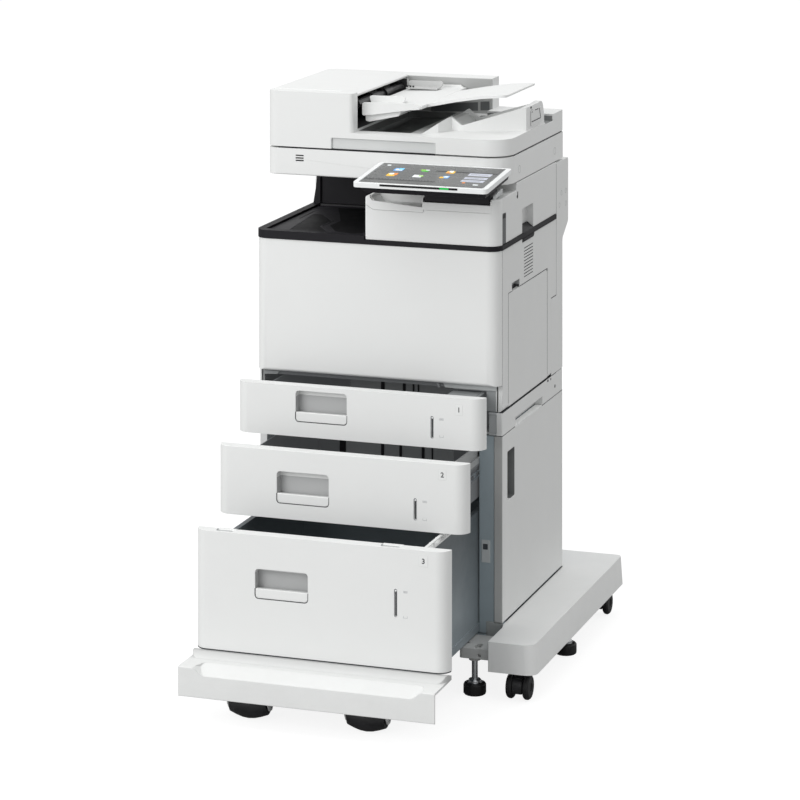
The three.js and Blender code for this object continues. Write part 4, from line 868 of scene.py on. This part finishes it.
# document feeder: dark panes in the rear wall, stopper lines, knob; scanner vents
pane = Shape().prism([(-20, 1058), (83.3, 1065.6), (83.3, 1083.4), (21.6, 1077.7), (-20, 1073)], 413.35, 414.2, "y")
pane.prism([(88.8, 1066.2), (108.4, 1067.2), (108.4, 1086.0), (88.8, 1084.6)], 413.35, 414.2, "y")
marks = Shape()
for i in range(3):
    marks.prism(rr(-53 + i * 6.4, -49 + i * 6.4, 1117.4, 1120.8, 0.5), 348.55, 349.3, "y")
marks.make("guide_marks", "guide_rear", BLACKMARK)
pane.make("rear_wall_panes", "document_feeder", WALLDARK, bevel=0.05)
flap = Shape()
strip(flap, (255.75, 256.15), (227.5, 291.0), (1074.6, 1076.2), 0.3)
flap.prism([(291.0, 1076.4), (292.8, 1076.4), (282.2, 1096.5), (280.6, 1096.5)], 255.75, 256.15, "x")
strip(flap, (255.75, 256.15), (252.0, 274.0), (1095.6, 1097.0), 0.3)
strip(flap, (255.75, 256.15), (227.5, 233.0), (1094.0, 1095.6), 0.3)
flap.make("stopper_outline", "output_stopper", GAPDARK)
disc_x("stopper_knob", "document_feeder", BLACKMARK, 229.5, 1104.2, 2.4, 253.2, 254.6)
vents = Shape()
for i in range(3):
    strip(vents, (-191.6, -175.2), (60.5, 61.2), (998.4 + i * 5.2, 1000.6 + i * 5.2), 0.4)
vents.make("scanner_vents", "body", BLACKMARK)

slots = Shape()
for i in range(10):
    strip(slots, (254.2, 254.9), (174.9, 237.5), (770.6 + i * 6.4 - 0.9, 770.6 + i * 6.4 + 0.9), 0.4)
slots.make("door_vent_slots", "right_door", GAPDARK)
liner("feeder_joint_front", "body", (-230, 104), (61.8, 62.8), (1023.8, 1026.6), BLACKMARK)
liner("feeder_joint_right", "body", (253.0, 253.9), (112, 455), (1024.0, 1026.4), GAPDARK)

# output tray: sunk panels with fold lines
def tray_point(u, v, w):
    return W(u, v, 862.5 + w)


def floor_poly(name, mat, pts, h0, h1):
    return Shape(to=tray_point).prism(pts, h0, h1).make(name, "body", mat, bevel=0.05)


floor_poly("tray_panel_front", DEEP, [(-196, 36), (-206, 150), (-214, 222), (-196, 232), (-148, 158), (-152, 96), (-118, 44), (-120, 24)], -0.2, 0.25)
floor_poly("tray_panel_rear", DEEP, [(-192, 312), (-130, 318), (-40, 318), (-26, 300), (-26, 60), (-60, 40), (-104, 52), (-136, 108), (-134, 168)], -0.2, 0.25)
for i, pts in enumerate((
    [(-196, 32), (-198.5, 36), (-216.5, 224), (-214, 223)],
    [(-215, 223), (-196, 234), (-194, 231), (-214, 220)],
    [(-196, 233), (-146, 159), (-148, 156), (-197, 229)],
    [(-146, 159), (-150, 96), (-153, 96), (-149, 160)],
    [(-150, 97), (-116, 44), (-119, 43), (-153, 96)],
)):
    floor_poly(f"tray_fold_{i + 1}", FOLDLINE, pts, -0.2, 0.5)
floor_poly("tray_slot", DEEP, [(-226, 170), (-222, 170), (-224, 262), (-228, 262)], -0.2, 0.3)

# support rollers: plated side brackets
for nm, xe in (("left", -97.4), ("right", 139.6)):
    br = Shape().prism([(xe, 54), (xe + 9.5, 54), (xe + 8.5, 38), (xe + 4, 24), (xe, 21)], -335, -323, "y")
    br.make(f"roller_{nm}_bracket_right", "drawer_3", CHROME, bevel=0.6)

# ------------------------------------------------------------------ camera, light, floor
cam_data = bpy.data.cameras.new("camera")
cam = bpy.data.objects.new("camera", cam_data)
bpy.context.scene.collection.objects.link(cam)
bpy.context.scene.camera = cam
cam.location = W(2098.5, -6003.0, 2011.0)
cam.rotation_euler = (math.radians(90), 0, math.radians(18.83))
cam_data.sensor_width = 36
cam_data.lens = 3204.5 / 800 * 36
cam_data.clip_end = 100
SHIFT = -740 / 800
cam_data.shift_y = SHIFT
# The lens shift belongs to this viewpoint only: away from it the curve is flat at zero.
curve = cam_data.driver_add("shift_y")
for mod in list(curve.modifiers):
    curve.modifiers.remove(mod)
while len(curve.keyframe_points):
    curve.keyframe_points.remove(curve.keyframe_points[0])
for _at, _v in ((-0.06, 0.0), (-0.03, SHIFT), (0.03, SHIFT), (0.06, 0.0)):
    curve.keyframe_points.insert(cam.location.x + _at, _v).interpolation = "LINEAR"
curve.extrapolation = "CONSTANT"
curve.driver.type = "AVERAGE"
var = curve.driver.variables.new()
var.name = "cx"
var.type = "TRANSFORMS"
var.targets[0].id = cam
var.targets[0].transform_type = "LOC_X"
var.targets[0].transform_space = "WORLD_SPACE"


def area(name, place, target, size, power, color=(1, 1, 1)):
    d = bpy.data.lights.new(name, "AREA")
    d.shape = "RECTANGLE"
    d.size, d.size_y = size
    d.energy = power
    d.color = color
    o = bpy.data.objects.new(name, d)
    bpy.context.scene.collection.objects.link(o)
    o.location = place
    o.rotation_euler = (Vector(target) - Vector(place)).to_track_quat("-Z", "Y").to_euler()
    return o


area("key", (-2.2, -4.6, 2.6), (0, -0.1, 0.55), (3.2, 3.0), 128)
area("top", (-0.6, -0.5, 4.4), (0, 0, 0.8), (4.0, 4.0), 62)
area("rim", (2.2, 3.6, 2.6), (0, 0, 0.7), (2.5, 2.5), 22)

world = bpy.data.worlds.new("studio")
bpy.context.scene.world = world
world.use_nodes = True
wt = world.node_tree
wt.nodes.clear()
wo = wt.nodes.new("ShaderNodeOutputWorld")
bg_light = wt.nodes.new("ShaderNodeBackground")
bg_light.inputs[0].default_value = (0.995, 0.998, 1.0, 1)
bg_light.inputs[1].default_value = 0.72
bg_cam = wt.nodes.new("ShaderNodeBackground")
bg_cam.inputs[0].default_value = (1, 1, 1, 1)
bg_cam.inputs[1].default_value = 1.0
lp = wt.nodes.new("ShaderNodeLightPath")
mx = wt.nodes.new("ShaderNodeMixShader")
wt.links.new(lp.outputs["Is Camera Ray"], mx.inputs[0])
wt.links.new(bg_light.outputs[0], mx.inputs[1])
wt.links.new(bg_cam.outputs[0], mx.inputs[2])
wt.links.new(mx.outputs[0], wo.inputs[0])


def floor_material():
    """Plain pale studio floor: seen it is nearly white with a faint contact shadow, and it bounces little light."""
    n = Nodes("floor_pale")
    cloud = n.noise(1.5, 2.0)
    seen = n.new("ShaderNodeBsdfDiffuse")
    n.link(n.mixc(n.remap(cloud, 0, 1), (0.215, 0.215, 0.215, 1), (0.235, 0.235, 0.235, 1)), seen.inputs[0])
    lit = n.new("ShaderNodeEmission")
    lit.inputs[0].default_value = (1, 1, 1, 1)
    lit.inputs[1].default_value = 0.865
    both = n.new("ShaderNodeAddShader")
    n.link(seen.outputs[0], both.inputs[0])
    n.link(lit.outputs[0], both.inputs[1])
    bounce = n.new("ShaderNodeBsdfDiffuse")
    bounce.inputs[0].default_value = (0.42, 0.42, 0.42, 1)
    path = n.new("ShaderNodeLightPath")
    mix = n.new("ShaderNodeMixShader")
    n.link(path.outputs["Is Camera Ray"], mix.inputs[0])
    n.link(bounce.outputs[0], mix.inputs[1])
    n.link(both.outputs[0], mix.inputs[2])
    n.t.nodes.remove(n.bsdf)
    n.link(mix.outputs[0], n.out.inputs[0])
    return n.m


fm = bpy.data.meshes.new("floor")
fm.from_pydata([(-30, -30, 0), (30, -30, 0), (30, 30, 0), (-30, 30, 0)], [], [(0, 1, 2, 3)])
fm.materials.append(floor_material())
floor = bpy.data.objects.new("floor", fm)
bpy.context.scene.collection.objects.link(floor)

vs = bpy.context.scene.view_settings
vs.view_transform = "Standard"
vs.look = "None"
vs.exposure = 0.0
vs.gamma = 1.0

# ------------------------------------------------------------------ finish
bpy.context.view_layer.update()
